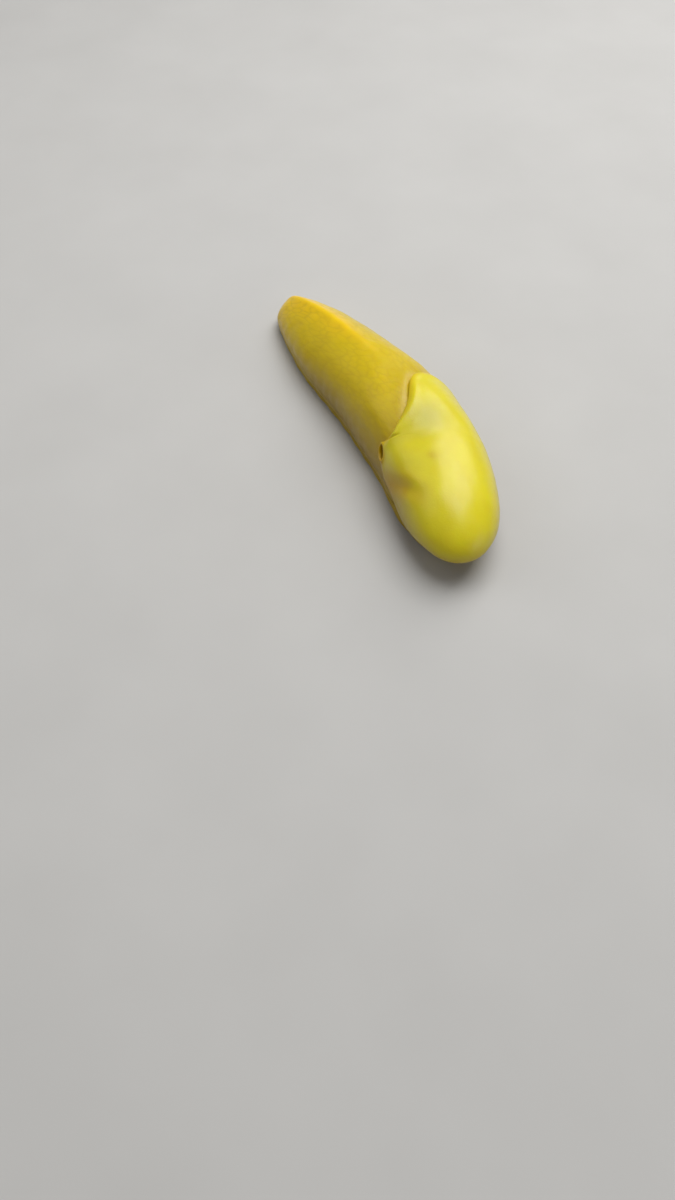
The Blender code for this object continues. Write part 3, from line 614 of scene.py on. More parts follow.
def trunk_section(s, share):
    """u and z at s, for a signed share of the way round: 0 on the crest, 1 under the belly."""
    tail = np.sqrt(np.clip(1.0 - np.clip(1.0 - s / TAIL_ROUND, 0.0, 1.0) ** 2, 0.0, 1.0))
    front = np.clip(1.0 - (TRUNK_END - s) / TRUNK_FRONT_ROUND, 0.0, 1.0)
    tail = tail * np.sqrt(1.0 - front**2)
    wide = half_width(s) * tail
    high = height(s)
    middle = widest_height(s)
    top = middle + (high - middle) * tail
    part = np.abs(share)
    over = np.radians(90.0) * np.clip(part / BACK_SHARE, 0.0, 1.0) ** DENSER_ON_CREST
    roof = KEEL_ROOF * (1.0 - smooth(KEEL_FADES_FROM, KEEL_FADES_TO, s))
    side = np.sqrt(np.sin(over) ** 2 + KEEL_SOFT**2) - KEEL_SOFT
    side = side / (math.hypot(1.0, KEEL_SOFT) - KEEL_SOFT)
    cap = (1.0 - roof) * np.cos(over) + roof * (1.0 - side)
    back_u = wide * np.sin(over)
    crest = CREST_HEIGHT * tail * (1.0 - smooth(CREST_FADES_FROM, KEEL_FADES_TO, s))
    back_z = middle + (top - middle) * cap + crest * hill(back_u, 0.0, CREST_WIDTH)
    down = np.radians(90.0) * np.clip((part - BACK_SHARE) / (FLANK_SHARE - BACK_SHARE), 0.0, 1.0)
    waist = GROOVE_SHARE * wide
    flank_u = waist + (wide - waist) * np.cos(down)
    lowered = np.sin(down) * (TAIL_UNDERSIDE + (1.0 - TAIL_UNDERSIDE) * tail)
    flank_z = middle - (middle - TRUNK_BOTTOM) * lowered
    under = np.clip((1.0 - part) / (1.0 - FLANK_SHARE), 0.0, 1.0)
    u = np.where(part < BACK_SHARE, back_u, np.where(part < FLANK_SHARE, flank_u, waist * under))
    z = np.where(part < BACK_SHARE, back_z, flank_z)
    return np.sign(share) * u, z


def even_rings(steps, fine_to, coarse):
    """Where rings lie along s: evenly over the skin, and past fine_to only coarse times as many."""
    t = np.linspace(0.0, 1.0, 4001)
    s = TRUNK_END * (0.5 - 0.5 * np.cos(np.pi * t))
    u, z = trunk_section(s, np.full(s.shape, 0.6))
    run = np.hypot(np.hypot(np.gradient(s), np.gradient(u)), np.gradient(z))
    run = np.cumsum(run * np.where(s < fine_to, 1.0, coarse))
    run = (run - run[0]) / (run[-1] - run[0])
    return np.interp(np.linspace(0.0, 1.0, steps), run, s)


# %% [markdown]
# Over that section goes the relief of the bare skin. Behind the mantle the net swells between its
# grooves, low on the flanks stand folds, since the drawn-in body is too short for its skin, and the
# pedal groove runs above the fringe. All but the pedal groove and the fringe end at the mantle.

# %% Trunk from a ball
FINE_TO = 80.0
COARSE_RINGS = 0.62
TRUNK_RINGS = 232
TRUNK_SEGMENTS = 204
NET_DEPTH = 0.26
NET_MIDDLE = 0.6
FOLD_DEPTH = 0.12
FOLD_PITCH = 5.2
FOLD_UNEVEN = 2.4
FOLD_FOOT = (2.6, 4.6)
FOLD_TOP = (15.0, 8.0)
LUMP_DEPTH = 0.16
PEDAL_GROOVE_Z = 4.4
PEDAL_GROOVE_DEPTH = 0.34
PEDAL_GROOVE_WIDTH = 0.4
FRINGE_DEPTH = 0.13


def flank_folds(points, s, z):
    """Low upright folds on the lower flanks, where the drawn-in body is too short for its skin."""
    uneven = FOLD_UNEVEN * cloud(points, 9.0)
    ripple = np.sin(2.0 * np.pi * s / FOLD_PITCH + uneven)
    band = smooth(*FOLD_FOOT, z) * smooth(*FOLD_TOP, z)
    return FOLD_DEPTH * ripple * band


trunk = start_ball("trunk", TRUNK_SEGMENTS, TRUNK_RINGS)
pole_share, turn = ball_shares(trunk)
ring_s = even_rings(TRUNK_RINGS + 1, FINE_TO, COARSE_RINGS)
s = np.interp(pole_share * TRUNK_RINGS, np.arange(TRUNK_RINGS + 1), ring_s)
u, z = trunk_section(s, turn)
angle = around(s, u, z)
inside = inside_margin(s, angle, z)
points = place(s, tucked(s, u, z, inside), z)
depth = core_depth(inside) * smooth(TRUNK_BOTTOM, TRUNK_BOTTOM + 3.0, z)
points = points - outward(points) * depth[:, None]
write_points(trunk, points * MM)
normal = read_points(trunk, "normal")
bare = smooth(1.5, -1.0, inside)
netted = bare * smooth(1.0, 9.0, s) * smooth(3.6, 6.5, z) * smooth(1.5, 9.0, np.abs(angle))
swell = back_net(s, angle)
relief = (swell - NET_MIDDLE) * NET_DEPTH * netted
relief += flank_folds(points, s, z) * bare * smooth(4.0, 16.0, s)
relief += LUMP_DEPTH * cloud(points, 6.5, 11.0) * bare * smooth(2.0, 5.0, z)
along_side = smooth(4.0, 9.0, s)
relief -= PEDAL_GROOVE_DEPTH * hill(z, PEDAL_GROOVE_Z, PEDAL_GROOVE_WIDTH) * along_side
run = flank_run(s, u)
fringe = smooth(PEDAL_GROOVE_Z, PEDAL_GROOVE_Z - 0.5, z) * along_side
relief -= FRINGE_DEPTH * fringe_groove(run) * fringe
write_points(trunk, (points + normal * relief[:, None]) * MM)
# groove: painted shade in the grooves of the net
store(trunk, "groove", (1.0 - swell) * netted)
store(trunk, "fringe", fringe)
store(trunk, "run", wandering(run))
# behind: painted shade on the strip of back just behind the mantle's margin
store(trunk, "behind", bare * smooth(-9.0, -1.0, inside))
print("trunk:", len(trunk.data.polygons), "faces")

# %% [markdown]
# ## Mantle
# The mantle is a flap that lies over the back. It starts as a ball too, pressed flat: the upper pole
# becomes the middle of its top, a circle below the equator becomes the free margin, and the lower pole
# the middle of its underside. Rays from a point inside the body carry each point to the full outline,
# and the underside follows at the mantle's thickness.

# %% Rays to the outline
MANTLE_S = 99.0
MANTLE_Z = 8.0


def ray_hits(origin, directions, longest=95.0):
    """Where rays from inside leave the full outline."""
    near = np.zeros(directions.shape[:-1])
    far = np.full(directions.shape[:-1], longest)
    for _ in range(30):
        middle = (near + far) / 2
        outside = beyond(origin + directions * middle[..., None]) > 0
        far = np.where(outside, middle, far)
        near = np.where(outside, near, middle)
    return origin + directions * far[..., None]


def dome_directions(bearing, slope):
    """Unit vectors at a compass bearing and an angle down from straight up."""
    flat = np.sin(slope)
    return np.stack([flat * np.sin(bearing), -flat * np.cos(bearing), np.cos(slope)], -1)


def margin_slopes(origin, bearings):
    """For each bearing, the slope at which the mantle's margin line is met."""
    low = np.full(bearings.shape, math.radians(20.0))
    high = np.full(bearings.shape, math.radians(112.0))
    for _ in range(26):
        middle = (low + high) / 2
        hits = ray_hits(origin, dome_directions(bearings, middle))
        s, u = unplace(hits)
        inside = inside_margin(s, around(s, u, hits[..., 2]), hits[..., 2]) > 0
        low = np.where(inside, middle, low)
        high = np.where(inside, high, middle)
    return low


# %% [markdown]
# The mantle's top isn't an even dome. Over the small hidden shell it swells, in front of that it dips
# like a saddle, and where the drawn-in body bunches up on the right a crease runs obliquely forward.
# A short slit leads from the breathing pore down to the margin. Each of these is a distance over the
# skin turned into a height.

# %% Swellings, creases and slit of the mantle
PLATE = (85.0, -3.0, 9.0, 40.0, 0.9)
FOLD = (97.0, -52.0, 7.0, 24.0, 0.7)
SADDLE = ((97.0, -52.0), (95.4, -34.0), (94.0, -12.0), (93.6, 6.0), (95.5, 24.0), (98.0, 40.0))
SADDLE_DEPTH = 0.5
SADDLE_WIDTH = 4.8
CREASE = ((101.0, -82.0), (107.0, -65.0), (112.5, -50.0), (116.0, -36.0))
CREASE_DEPTH = 0.4
CREASE_WIDTH = 1.9
BULGE_RISE = 0.35
BULGE_AT = 3.4
BULGE_WIDTH = 2.0
PORE_S = 90.0
PORE_ANGLE = -70.0
SLIT = ((90.0, -74.0), (89.2, -84.0), (90.0, -97.0))
SLIT_DEPTH = 0.75
SLIT_WIDTH = 0.42
SLIT_LIP_RISE = 0.25
SLIT_LIP_AT = 1.1
SLIT_LIP_WIDTH = 0.8


def from_line(s, angle, line):
    """Distance over the skin from a line of (s, angle) corners, and the share run along it."""
    scale = mm_per_degree(s)
    near = np.full(np.shape(s), 1e9)
    run = np.zeros(np.shape(s))
    for i, (start, end) in enumerate(zip(line[:-1], line[1:])):
        step = np.array([end[0] - start[0], end[1] - start[1]])
        to_s = s - start[0]
        to_q = (angle - start[1]) * scale
        step_q = step[1] * scale
        t = np.clip((to_s * step[0] + to_q * step_q) / (step[0] ** 2 + step_q**2), 0.0, 1.0)
        gap = np.hypot(to_s - t * step[0], to_q - t * step_q)
        run = np.where(gap < near, (i + t) / (len(line) - 1), run)
        near = np.minimum(near, gap)
    return near, run


def ditch(s, angle, line, depth, width):
    """A groove along a line that eases out at both ends."""
    gap, run = from_line(s, angle, line)
    ends = smooth(-0.02, 0.25, run) * smooth(1.02, 0.75, run)
    return -depth * hill(gap, 0.0, width) * ends


def mantle_swellings(s, angle):
    """How far the mantle's top stands above the full outline."""
    total = np.zeros(np.shape(s))
    for (middle_s, middle_angle, long, wide, rise), power in ((PLATE, 3), (FOLD, 2)):
        along = np.abs((s - middle_s) / long)
        across = np.abs((angle - middle_angle) / wide)
        total = total + rise * np.exp(-(along**power + across**power))
    total = total + ditch(s, angle, SADDLE, SADDLE_DEPTH, SADDLE_WIDTH)
    total = total + ditch(s, angle, CREASE, CREASE_DEPTH, CREASE_WIDTH)
    gap, run = from_line(s, angle, CREASE)
    bulge = BULGE_RISE * hill(gap, BULGE_AT, BULGE_WIDTH) * smooth(0.0, 0.4, run) * smooth(1.0, 0.6, run)
    total = total + bulge
    gap = from_line(s, angle, SLIT)[0]
    total = total + SLIT_LIP_RISE * hill(gap, SLIT_LIP_AT, SLIT_LIP_WIDTH)
    return total - SLIT_DEPTH * hill(gap, 0.0, SLIT_WIDTH)


# %% [markdown]
# The ball's rings and segments are spent where they show: a share of the rings rounds the free edge, and
# the segments crowd together at the breathing pore and where the margin runs steeply forward.

# %% Mantle from a ball
MANTLE_RINGS = 128
MANTLE_SEGMENTS = 296
RIM_SHARE = 0.74
EDGE_SHARE = 0.16
EDGE_RINGS = 0.34
EDGE_POWER = 1.6
RIDGE_FADES = (100.0, 92.0)
PORE_CROWD = 3.0
PORE_SPREAD = 0.22
CREST_CROWD = 2.4
CREST_SPREAD = 0.20
CREST_AT = (76.0, -4.0)
SKIN_UNEVEN = 0.14

origin = place(MANTLE_S, 0.0, MANTLE_Z)
bearing_table = np.linspace(-math.pi, math.pi, 721)
slope_table = margin_slopes(origin, bearing_table)


def crowd(turn):
    """Turns -1 to 1 into bearings that crowd at the breathing pore and on the steep margin."""
    density = np.ones(bearing_table.shape)
    crowded = (((PORE_S, PORE_ANGLE), PORE_CROWD, PORE_SPREAD), (CREST_AT, CREST_CROWD, CREST_SPREAD))
    for (at_s, at_angle), extra, spread in crowded:
        point = on_outline(at_s, at_angle) - origin
        bearing = math.atan2(point[0], -point[1])
        away = (bearing_table - bearing + math.pi) % (2 * math.pi) - math.pi
        density = density + extra * hill(away, 0.0, spread)
    run = np.concatenate([[0.0], np.cumsum((density[1:] + density[:-1]) / 2)])
    return np.interp((turn + 1.0) / 2.0, run / run[-1], bearing_table)


mantle = start_ball("mantle", MANTLE_SEGMENTS, MANTLE_RINGS)
pole_share, turn = ball_shares(mantle)
down = 1.0 - pole_share
outer_side = down <= RIM_SHARE
way = np.where(outer_side, down / RIM_SHARE, (1.0 - down) / (1.0 - RIM_SHARE))
inner_part = way / (1.0 - EDGE_RINGS) * (1.0 - EDGE_SHARE)
edge_way = np.clip((way - (1.0 - EDGE_RINGS)) / EDGE_RINGS, 0.0, 1.0)
edge_part = 1.0 - EDGE_SHARE * (1.0 - edge_way) ** EDGE_POWER
share = np.where(way < 1.0 - EDGE_RINGS, inner_part, edge_part)
bearing = crowd(turn)
slope = share * np.interp(bearing, bearing_table, slope_table)
hits = ray_hits(origin, dome_directions(bearing, slope))
out = outward(hits)
s, u = unplace(hits)
angle = around(s, u, hits[:, 2])
inside = np.where(way > 0.99999, 0.0, np.clip(inside_margin(s, angle, hits[:, 2]), 0.0, None))
round_edge = EDGE_THICK / 2
short = np.clip(round_edge - inside, 0.0, round_edge)
sunk = round_edge - np.sqrt(round_edge**2 - short**2)
ridge = RIDGE[2] * hill(angle, RIDGE[0], RIDGE[1]) * smooth(*RIDGE_FADES, s)
lip = (LIP_RISE + ridge) * hill(inside, LIP_WIDTH, LIP_WIDTH)
top_only = smooth(0.0, 2.0, inside)
uneven = SKIN_UNEVEN * (0.7 * cloud(hits, 6.0) + 0.3 * cloud(hits, 2.2, 5.0))
rise = lip - sunk + (mantle_swellings(s, angle) + uneven) * top_only
fall = sunk - thickness(inside)
write_points(mantle, (hits + out * np.where(outer_side, rise, fall)[:, None]) * MM)
store(mantle, "mantle", np.where(outer_side, smooth(-0.1, 2.5, inside), 0.0))
print("mantle:", len(mantle.data.polygons), "faces")

# %% [markdown]
# ## Foot
# A ball pressed flat gives the foot: the equator becomes its edge. The points are spread evenly by arc
# length, so that the grooves keep their spacing round the ends. The sole stays flat where it bears on the
# ground, and its edge is thin, with a gentle slope up to the flank.

# %% Foot from a ball
FOOT_SEGMENTS = 740
FOOT_RINGS = 20
FLAT_FROM = 62.0
FRINGE_WAVE = 0.30
FRINGE_WAVE_LONG = 9.5
FRINGE_EDGE_Z = 0.8
FRINGE_SLOPE = 2.6
FRINGE_SLOPE_FRONT = 5.2

foot = start_ball("foot", FOOT_SEGMENTS, FOOT_RINGS)
pole_share, turn = ball_shares(foot)
rim_s, rim_u, in_s, in_u, run = foot_outline(FOOT_SEGMENTS)
spot = np.round((turn % 2.0) / 2.0 * FOOT_SEGMENTS).astype(int) % FOOT_SEGMENTS
lift = np.degrees(np.pi * (pole_share - 0.5))
edge_turn = np.radians(np.clip(lift / FLAT_FROM, -1.0, 1.0) * 90.0)
upper = edge_turn > 0.0
slope = FRINGE_SLOPE + (FRINGE_SLOPE_FRONT - FRINGE_SLOPE) * smooth(106.0, 120.0, rim_s[spot])
inset = np.where(upper, slope, FRINGE_EDGE_Z) * (1.0 - np.cos(edge_turn))
groove = fringe_groove(run[spot])
swing = 2 * np.pi * run[spot] / FRINGE_WAVE_LONG + 2.0 * np.sin(run[spot] / 17.0)
wave = FRINGE_WAVE * (0.5 + 0.5 * np.sin(swing))
inset = inset + (FRINGE_DEPTH * groove + wave) * np.cos(edge_turn)
keep = 1.0 - np.clip((np.abs(lift) - FLAT_FROM) / (90.0 - FLAT_FROM), 0.0, 1.0)
flat_s = rim_s[spot] + in_s[spot] * inset
flat_u = rim_u[spot] + in_u[spot] * inset
centre_s = (FOOT_TAIL_END + FOOT_FRONT_END) / 2
s = centre_s + (flat_s - centre_s) * keep
u = flat_u * keep
z = FRINGE_EDGE_Z + np.where(upper, FOOT_THICK - FRINGE_EDGE_Z, FRINGE_EDGE_Z) * np.sin(edge_turn)
write_points(foot, place(s, u, z) * MM)
store(foot, "fringe", np.where(np.abs(lift) < FLAT_FROM, 1.0, 0.0))
store(foot, "run", wandering(run[spot]))
# groove: painted shade in the fringe's upright grooves
store(foot, "groove", groove * np.cos(edge_turn) * 0.8)
print("foot:", len(foot.data.polygons), "faces")

# %% [markdown]
# ## Head
# The head is drawn back under the mantle's front, so only the lower face shows: the two-lobed muzzle
# over the mouth, and the two pairs of tentacles, which are drawn in to short stalks with a ring fold at
# the root. Soft parts that flow into each other are easiest as overlapping balls that a voxel remesh
# melts together, smoothed afterwards.

# %% Head from lumps
HEAD_VOXEL = 0.27
HEAD_SOFT_ROUNDS = 8
UPPER_ROOT = (125.6, 4.3, 8.1)
UPPER_SPREAD = 20.0
UPPER_TIP = 5.0
UPPER_STALK = ((0.0, 1.6), (0.8, 1.32), (1.6, 1.1), (2.4, 0.97), (3.1, 0.9), (3.5, 0.92))
LOWER_ROOT = (125.5, 3.7, 5.1)
LOWER_SPREAD = 34.0
LOWER_TIP = -6.0
LOWER_STALK = ((0.0, 1.05), (0.8, 0.86), (1.6, 0.78))


def lump(s, u, z, across, along, up, tip=0.0, spread=0.0):
    """A ball pressed to three radii, tipped up by tip degrees and turned out by spread degrees."""
    point = place(s, u, z) * MM
    turn = (math.radians(tip), 0.0, heading_at(s) + math.radians(spread))
    bpy.ops.mesh.primitive_uv_sphere_add(
        segments=28, ring_count=18, radius=MM, location=point, rotation=turn, scale=(across, along, up)
    )
    return bpy.context.object


def collar(s, u, z, radius, thick, tip, spread):
    """The ring fold round the root of a drawn-in tentacle."""
    turn = (math.radians(90.0 + tip), 0.0, heading_at(s) + math.radians(spread))
    bpy.ops.mesh.primitive_torus_add(
        major_segments=28,
        minor_segments=10,
        major_radius=radius * MM,
        minor_radius=thick * MM,
        location=place(s, u, z) * MM,
        rotation=turn,
    )
    return bpy.context.object


def pointing(s, tip, spread):
    """The way a tentacle points: forward, tipped up and turned out."""
    turn = heading_at(s) + math.radians(spread)
    return np.array([math.sin(turn), -math.cos(turn), math.sin(math.radians(tip))])


def stalk(root, side, steps, tip, spread):
    """A short tentacle as a row of balls, with the ring fold at its root."""
    s, u, z = root
    u = u * side
    spread = spread * side
    way = pointing(s, tip, spread)
    pieces = [collar(s, u, z, steps[0][1] + 0.15, 0.3 * steps[0][1], tip, spread)]
    for distance, radius in steps:
        point = (place(s, u, z) + way * distance) * MM
        bpy.ops.mesh.primitive_uv_sphere_add(segments=28, ring_count=18, radius=radius * MM, location=point)
        pieces.append(bpy.context.object)
    return pieces


lumps = [
    lump(112.0, 0.0, 8.0, 13.0, 9.0, 7.6),
    lump(115.2, 0.0, 8.4, 10.4, 11.4, 7.8),
    lump(121.0, 0.0, 6.6, 7.6, 5.8, 4.0),
    lump(124.0, 0.0, 5.4, 4.2, 3.0, 2.4),
]
for side in (1.0, -1.0):
    lumps += [
        lump(125.8, 1.3 * side, 5.1, 1.5, 1.75, 1.3),
        lump(124.0, 0.8 * side, 3.5, 1.5, 1.4, 0.7),
        lump(UPPER_ROOT[0] - 2.2, UPPER_ROOT[1] * side, UPPER_ROOT[2] - 0.2, 2.9, 3.0, 2.7),
        lump(LOWER_ROOT[0] - 1.6, (LOWER_ROOT[1] - 0.2) * side, LOWER_ROOT[2], 1.8, 2.0, 1.6),
    ]
    lumps += stalk(UPPER_ROOT, side, UPPER_STALK, UPPER_TIP, UPPER_SPREAD)
    lumps += stalk(LOWER_ROOT, side, LOWER_STALK, LOWER_TIP, LOWER_SPREAD)
bpy.ops.object.select_all(action="DESELECT")
for piece in lumps:
    piece.select_set(True)
head = lumps[0]
bpy.context.view_layer.objects.active = head
bpy.ops.object.join()
head.name = "head"
bpy.ops.object.transform_apply(location=True, rotation=True, scale=True)
melt = head.modifiers.new("melt", "REMESH")
melt.mode = "VOXEL"
melt.voxel_size = HEAD_VOXEL * MM
bpy.ops.object.modifier_apply(modifier=melt.name)
soften = head.modifiers.new("soften", "SMOOTH")
soften.factor = 0.5
soften.iterations = HEAD_SOFT_ROUNDS
bpy.ops.object.modifier_apply(modifier=soften.name)
print("head:", len(head.data.polygons), "faces")

# %% [markdown]
# The mouth is pressed into the melted form, with fine lines that run into it, and a furrow goes up the
# middle of the face between the tentacles. The rest of the face is pebbled: the net of the back again,
# with smaller cells, which stops short of the tentacles and the mouth.

# %% Mouth and pebbles
MOUTH_Z = 3.95
MOUTH_HALF = 2.3
MOUTH_DEPTH = 1.1
MOUTH_THIN = 0.26
MOUTH_BOW = 0.05
FURROW_DEPTH = 0.45
FURROW_WIDTH = 0.4
LIP_LINES = 18.0
LIP_LINE_DEPTH = 0.06
PEBBLE_WIDE = 1.05
PEBBLE_HIGH = 1.5
PEBBLE_DEPTH = 0.10
PEBBLE_GROOVE = 0.28
PEBBLE_LEAN = 0.35
FACE_UNEVEN = 0.05


def from_stalks(points):
    """Distance from the nearest of the four tentacles' axes."""
    near = np.full(len(points), 1e9)
    pairs = ((UPPER_ROOT, UPPER_TIP, UPPER_SPREAD), (LOWER_ROOT, LOWER_TIP, LOWER_SPREAD))
    for root, tip, spread in pairs:
        for side in (1.0, -1.0):
            start = place(root[0], root[1] * side, root[2])
            way = pointing(root[0], tip, spread * side)
            along = np.clip((points - start) @ way, 0.0, None)
            gap = np.linalg.norm(points - start - along[:, None] * way, axis=1)
            near = np.minimum(near, gap)
    return near


points = read_points(head) / MM
normal = read_points(head, "normal")
s, u = unplace(points)
z = points[:, 2]
facing = smooth(120.0, 124.0, s)
mouth_line = MOUTH_Z + MOUTH_BOW * u**2
open_part = np.sqrt(np.clip(1.0 - (u / MOUTH_HALF) ** 2, 0.0, 1.0))
slit = MOUTH_DEPTH * hill(z, mouth_line, MOUTH_THIN) * open_part
furrow = FURROW_DEPTH * hill(u, 0.0, FURROW_WIDTH) * smooth(7.0, 6.0, z) * smooth(3.7, 4.3, z)
from_mouth = np.hypot(u, z - MOUTH_Z)
pucker = smooth(2.9, 1.8, from_mouth) * smooth(0.5, 1.0, from_mouth)
spoke = np.arctan2(z - MOUTH_Z, u) * LIP_LINES + 2.0 * cloud(points, 3.0)
lip_lines = LIP_LINE_DEPTH * np.sin(spoke) * pucker
wander = 0.4 * cloud(points, 4.0)
pebbles = net((z + PEBBLE_LEAN * s) / PEBBLE_HIGH + 20.0 + wander, u / PEBBLE_WIDE + 30.0 + wander)
off_stalks = smooth(1.3, 2.4, from_stalks(points))
between = hill(pebbles, 0.0, PEBBLE_GROOVE) * smooth(1.9, 3.2, from_mouth) * off_stalks
sink = (slit + furrow) * facing
uneven = FACE_UNEVEN * cloud(points, 1.9) * off_stalks
relief = lip_lines * facing - PEBBLE_DEPTH * between + uneven - sink
write_points(head, (points + normal * relief[:, None]) * MM)
# groove: painted shade in the mouth, the furrow and between the pebbles
store(head, "groove", np.clip(sink + 0.5 * between, 0.0, 1.0))
# face: where the face is painted paler, partly its own colour and partly painted light
store(head, "face", facing)
# painted shade in the mouth's slit
store(head, "mouth", slit / MOUTH_DEPTH * facing)

# %% [markdown]
# ## Join the forms
# A Boolean union welds the forms into one closed skin and drops what lies inside. Each point keeps the
# numbers that its own form stored, so the paint still knows where the mantle or the fringe is. The
# breathing pore and the slime pore at the tail's tip are cut afterwards, the first with a swollen ring
# round it.

# %% Join
for form in (trunk, mantle, foot, head):
    face_outwards(form)
skin = trunk
skin.name = "skin"
for form in (foot, head, mantle):
    boolean(skin, form, "UNION")
print("skin:", len(skin.data.polygons), "faces")

# %% [markdown]
# The ring is a torus and the pit is a ball, both stretched along the body, because the pore is an oval
# about twice as long as it is high. A cut leaves a hard edge, which a few rounds of smoothing soften.
# The rounds go over most of the skin, not only the cuts. They leave about a tenth of the depth of the
# net on the back, so its grooves hardly show in the shape.

# %% Breathing pore and slime pore
PORE_LONG = 2.5
PORE_WIDE = 1.15
PORE_LIP = 0.62
PORE_LEAN = 0.30
PORE_DEEP = 2.0
PORE_SOFTENED = (5.5, 9)
RING_THIN = 0.2
RING_GAP = 0.3
RING_SUNK = 0.12
TAIL_PORE = (0.0, 0.0, 5.4)
TAIL_PORE_SIZES = (0.5, 0.9, 1.3)
TAIL_PORE_SOFTENED = (3.0, 8)
SHARP_DEGREES = 60.0


def frame_at(s, angle, lean):
    """The outward way, the way along the body and the turn of an object that faces outward there."""
    centre = on_outline(s, angle)
    out = outward(centre)
    along = on_outline(s + 1.0, angle - lean * 10.0) - centre
    along = along - out * float(along @ out)
    along = along / np.linalg.norm(along)
    turn = np.array([along, np.cross(out, along), out]).T
    return centre, out, turn


def place_turned(obj, centre, turn, sizes):
    """Stretches a fresh primitive, turns it by three axes and sets it down."""
    points = read_points(obj) * np.array(sizes)
    write_points(obj, (centre + points @ turn.T) * MM)


def soften_near(obj, centre, reach, rounds):
    """Smooths the points near a place, and the forms whose faces are selected since they were added.

    Those are the trunk, the mantle and the foot, so their relief is softened in the same rounds.
    """
    far = np.linalg.norm(read_points(obj) / MM - centre, axis=1)
    take(obj)
    obj.data.vertices.foreach_set("select", far < reach)
    bpy.ops.object.mode_set(mode="EDIT")
    bpy.ops.mesh.select_mode(type="VERT")
    bpy.ops.mesh.vertices_smooth(factor=0.5, repeat=rounds)
    bpy.ops.object.mode_set(mode="OBJECT")


def drop_specks(obj):
    """Deletes what isn't joined to the highest point, such as the specks that a Boolean leaves."""
    before = len(obj.data.vertices)
    highest = int(np.argmax(read_points(obj)[:, 2]))
    take(obj)
    bpy.ops.object.mode_set(mode="EDIT")
    bpy.ops.mesh.select_mode(type="VERT")
    bpy.ops.mesh.select_all(action="DESELECT")
    bpy.ops.object.mode_set(mode="OBJECT")
    obj.data.vertices[highest].select = True
    bpy.ops.object.mode_set(mode="EDIT")
    bpy.ops.mesh.select_linked()
    bpy.ops.mesh.select_all(action="INVERT")
    bpy.ops.mesh.delete(type="VERT")
    bpy.ops.object.mode_set(mode="OBJECT")
    print("specks:", before - len(obj.data.vertices), "points removed")


pore_centre, pore_out, pore_turn = frame_at(PORE_S, PORE_ANGLE, PORE_LEAN)
bpy.ops.object.select_all(action="DESELECT")
bpy.ops.mesh.primitive_torus_add(
    major_segments=64, minor_segments=16, major_radius=1.0, minor_radius=RING_THIN
)
ring = bpy.context.object
points = read_points(ring)
flat = np.hypot(points[:, 0], points[:, 1])
way_round = points[:, :2] / flat[:, None]
round_turn = np.arctan2(points[:, 1], points[:, 0])
plump = PORE_LIP * (1.0 + 0.22 * np.cos(round_turn - 0.5) + 0.08 * np.sin(5.0 * round_turn))
middle = way_round * np.array([PORE_LONG + RING_GAP, PORE_WIDE + RING_GAP])
bulge = way_round * ((flat - 1.0) / RING_THIN * plump)[:, None]
write_points(ring, np.column_stack([middle + bulge, points[:, 2] / RING_THIN * plump]))
place_turned(ring, pore_centre - pore_out * RING_SUNK, pore_turn, (1.0, 1.0, 1.0))
face_outwards(ring)
boolean(skin, ring, "UNION")
pit = start_ball("pit", 48, 24)
points = read_points(pit)
round_turn = np.arctan2(points[:, 1], points[:, 0])
uneven = 1.0 + 0.07 * np.sin(3.0 * round_turn + 1.0) + 0.04 * np.sin(7.0 * round_turn)
write_points(pit, points * np.column_stack([uneven, uneven, np.ones(len(points))]))
place_turned(pit, pore_centre, pore_turn, (PORE_LONG, PORE_WIDE, PORE_DEEP))
face_outwards(pit)
boolean(skin, pit, "DIFFERENCE")
soften_near(skin, pore_centre, *PORE_SOFTENED)
tail_pit = start_ball("tail_pit", 32, 20)
tail_centre = place(*TAIL_PORE)
place_turned(tail_pit, tail_centre, np.eye(3), TAIL_PORE_SIZES)
face_outwards(tail_pit)
boolean(skin, tail_pit, "DIFFERENCE")
soften_near(skin, tail_centre, *TAIL_PORE_SOFTENED)
drop_specks(skin)
take(skin)
bpy.ops.object.shade_smooth_by_angle(angle=math.radians(SHARP_DEGREES))
triangles = sum(len(face.vertices) - 2 for face in skin.data.polygons)
print("skin:", triangles, "triangles")

# %% [markdown]
# ## Where the paint goes
# A painter thinks in places: the keel, the low flanks, the mantle, the creases. Each of these becomes a
# number from 0 to 1 on every point of the skin, worked out from where the point lies on the animal. The
# material then mixes its colours by those numbers, so the markings follow the body from any side.

# %% Masks for the paint
# The first two lines are a brown stain and painted shade along the crease, the third is painted shade
# round the breathing pore, and the last is a small brown spot.
STAINS_AND_SHADES = (
    ((101.0, -84.0), (109.0, -62.0), 4.6, 0.9),
    ((109.0, -62.0), (115.0, -47.0), 3.2, 0.5),
    ((PORE_S - 1.5, PORE_ANGLE - 4.0), (PORE_S + 1.5, PORE_ANGLE - 6.0), 3.0, 0.6),
    ((103.6, -17.0), (104.4, -16.0), 1.3, 0.45),
)
# Painted shade over the swelling of the hidden shell, in front of the saddle.
SHELL_SHADE = (89.5, -4.0, 6.5, 20.0)
# Painted light: on the fold that faces up, the painted shade low on the body is left off.
PAINTED_LIGHT_FOLD = (93.0, -60.0, 6.5, 15.0)
KEEL_PAINT = 2.6
KEEL_PAINT_TAIL = 1.8


def spot_on(s, angle, spot):
    """A soft oval spot on the skin: its s and angle, and its half lengths along and round the body."""
    return hill(s, spot[0], spot[2]) * hill(angle, spot[1], spot[3])


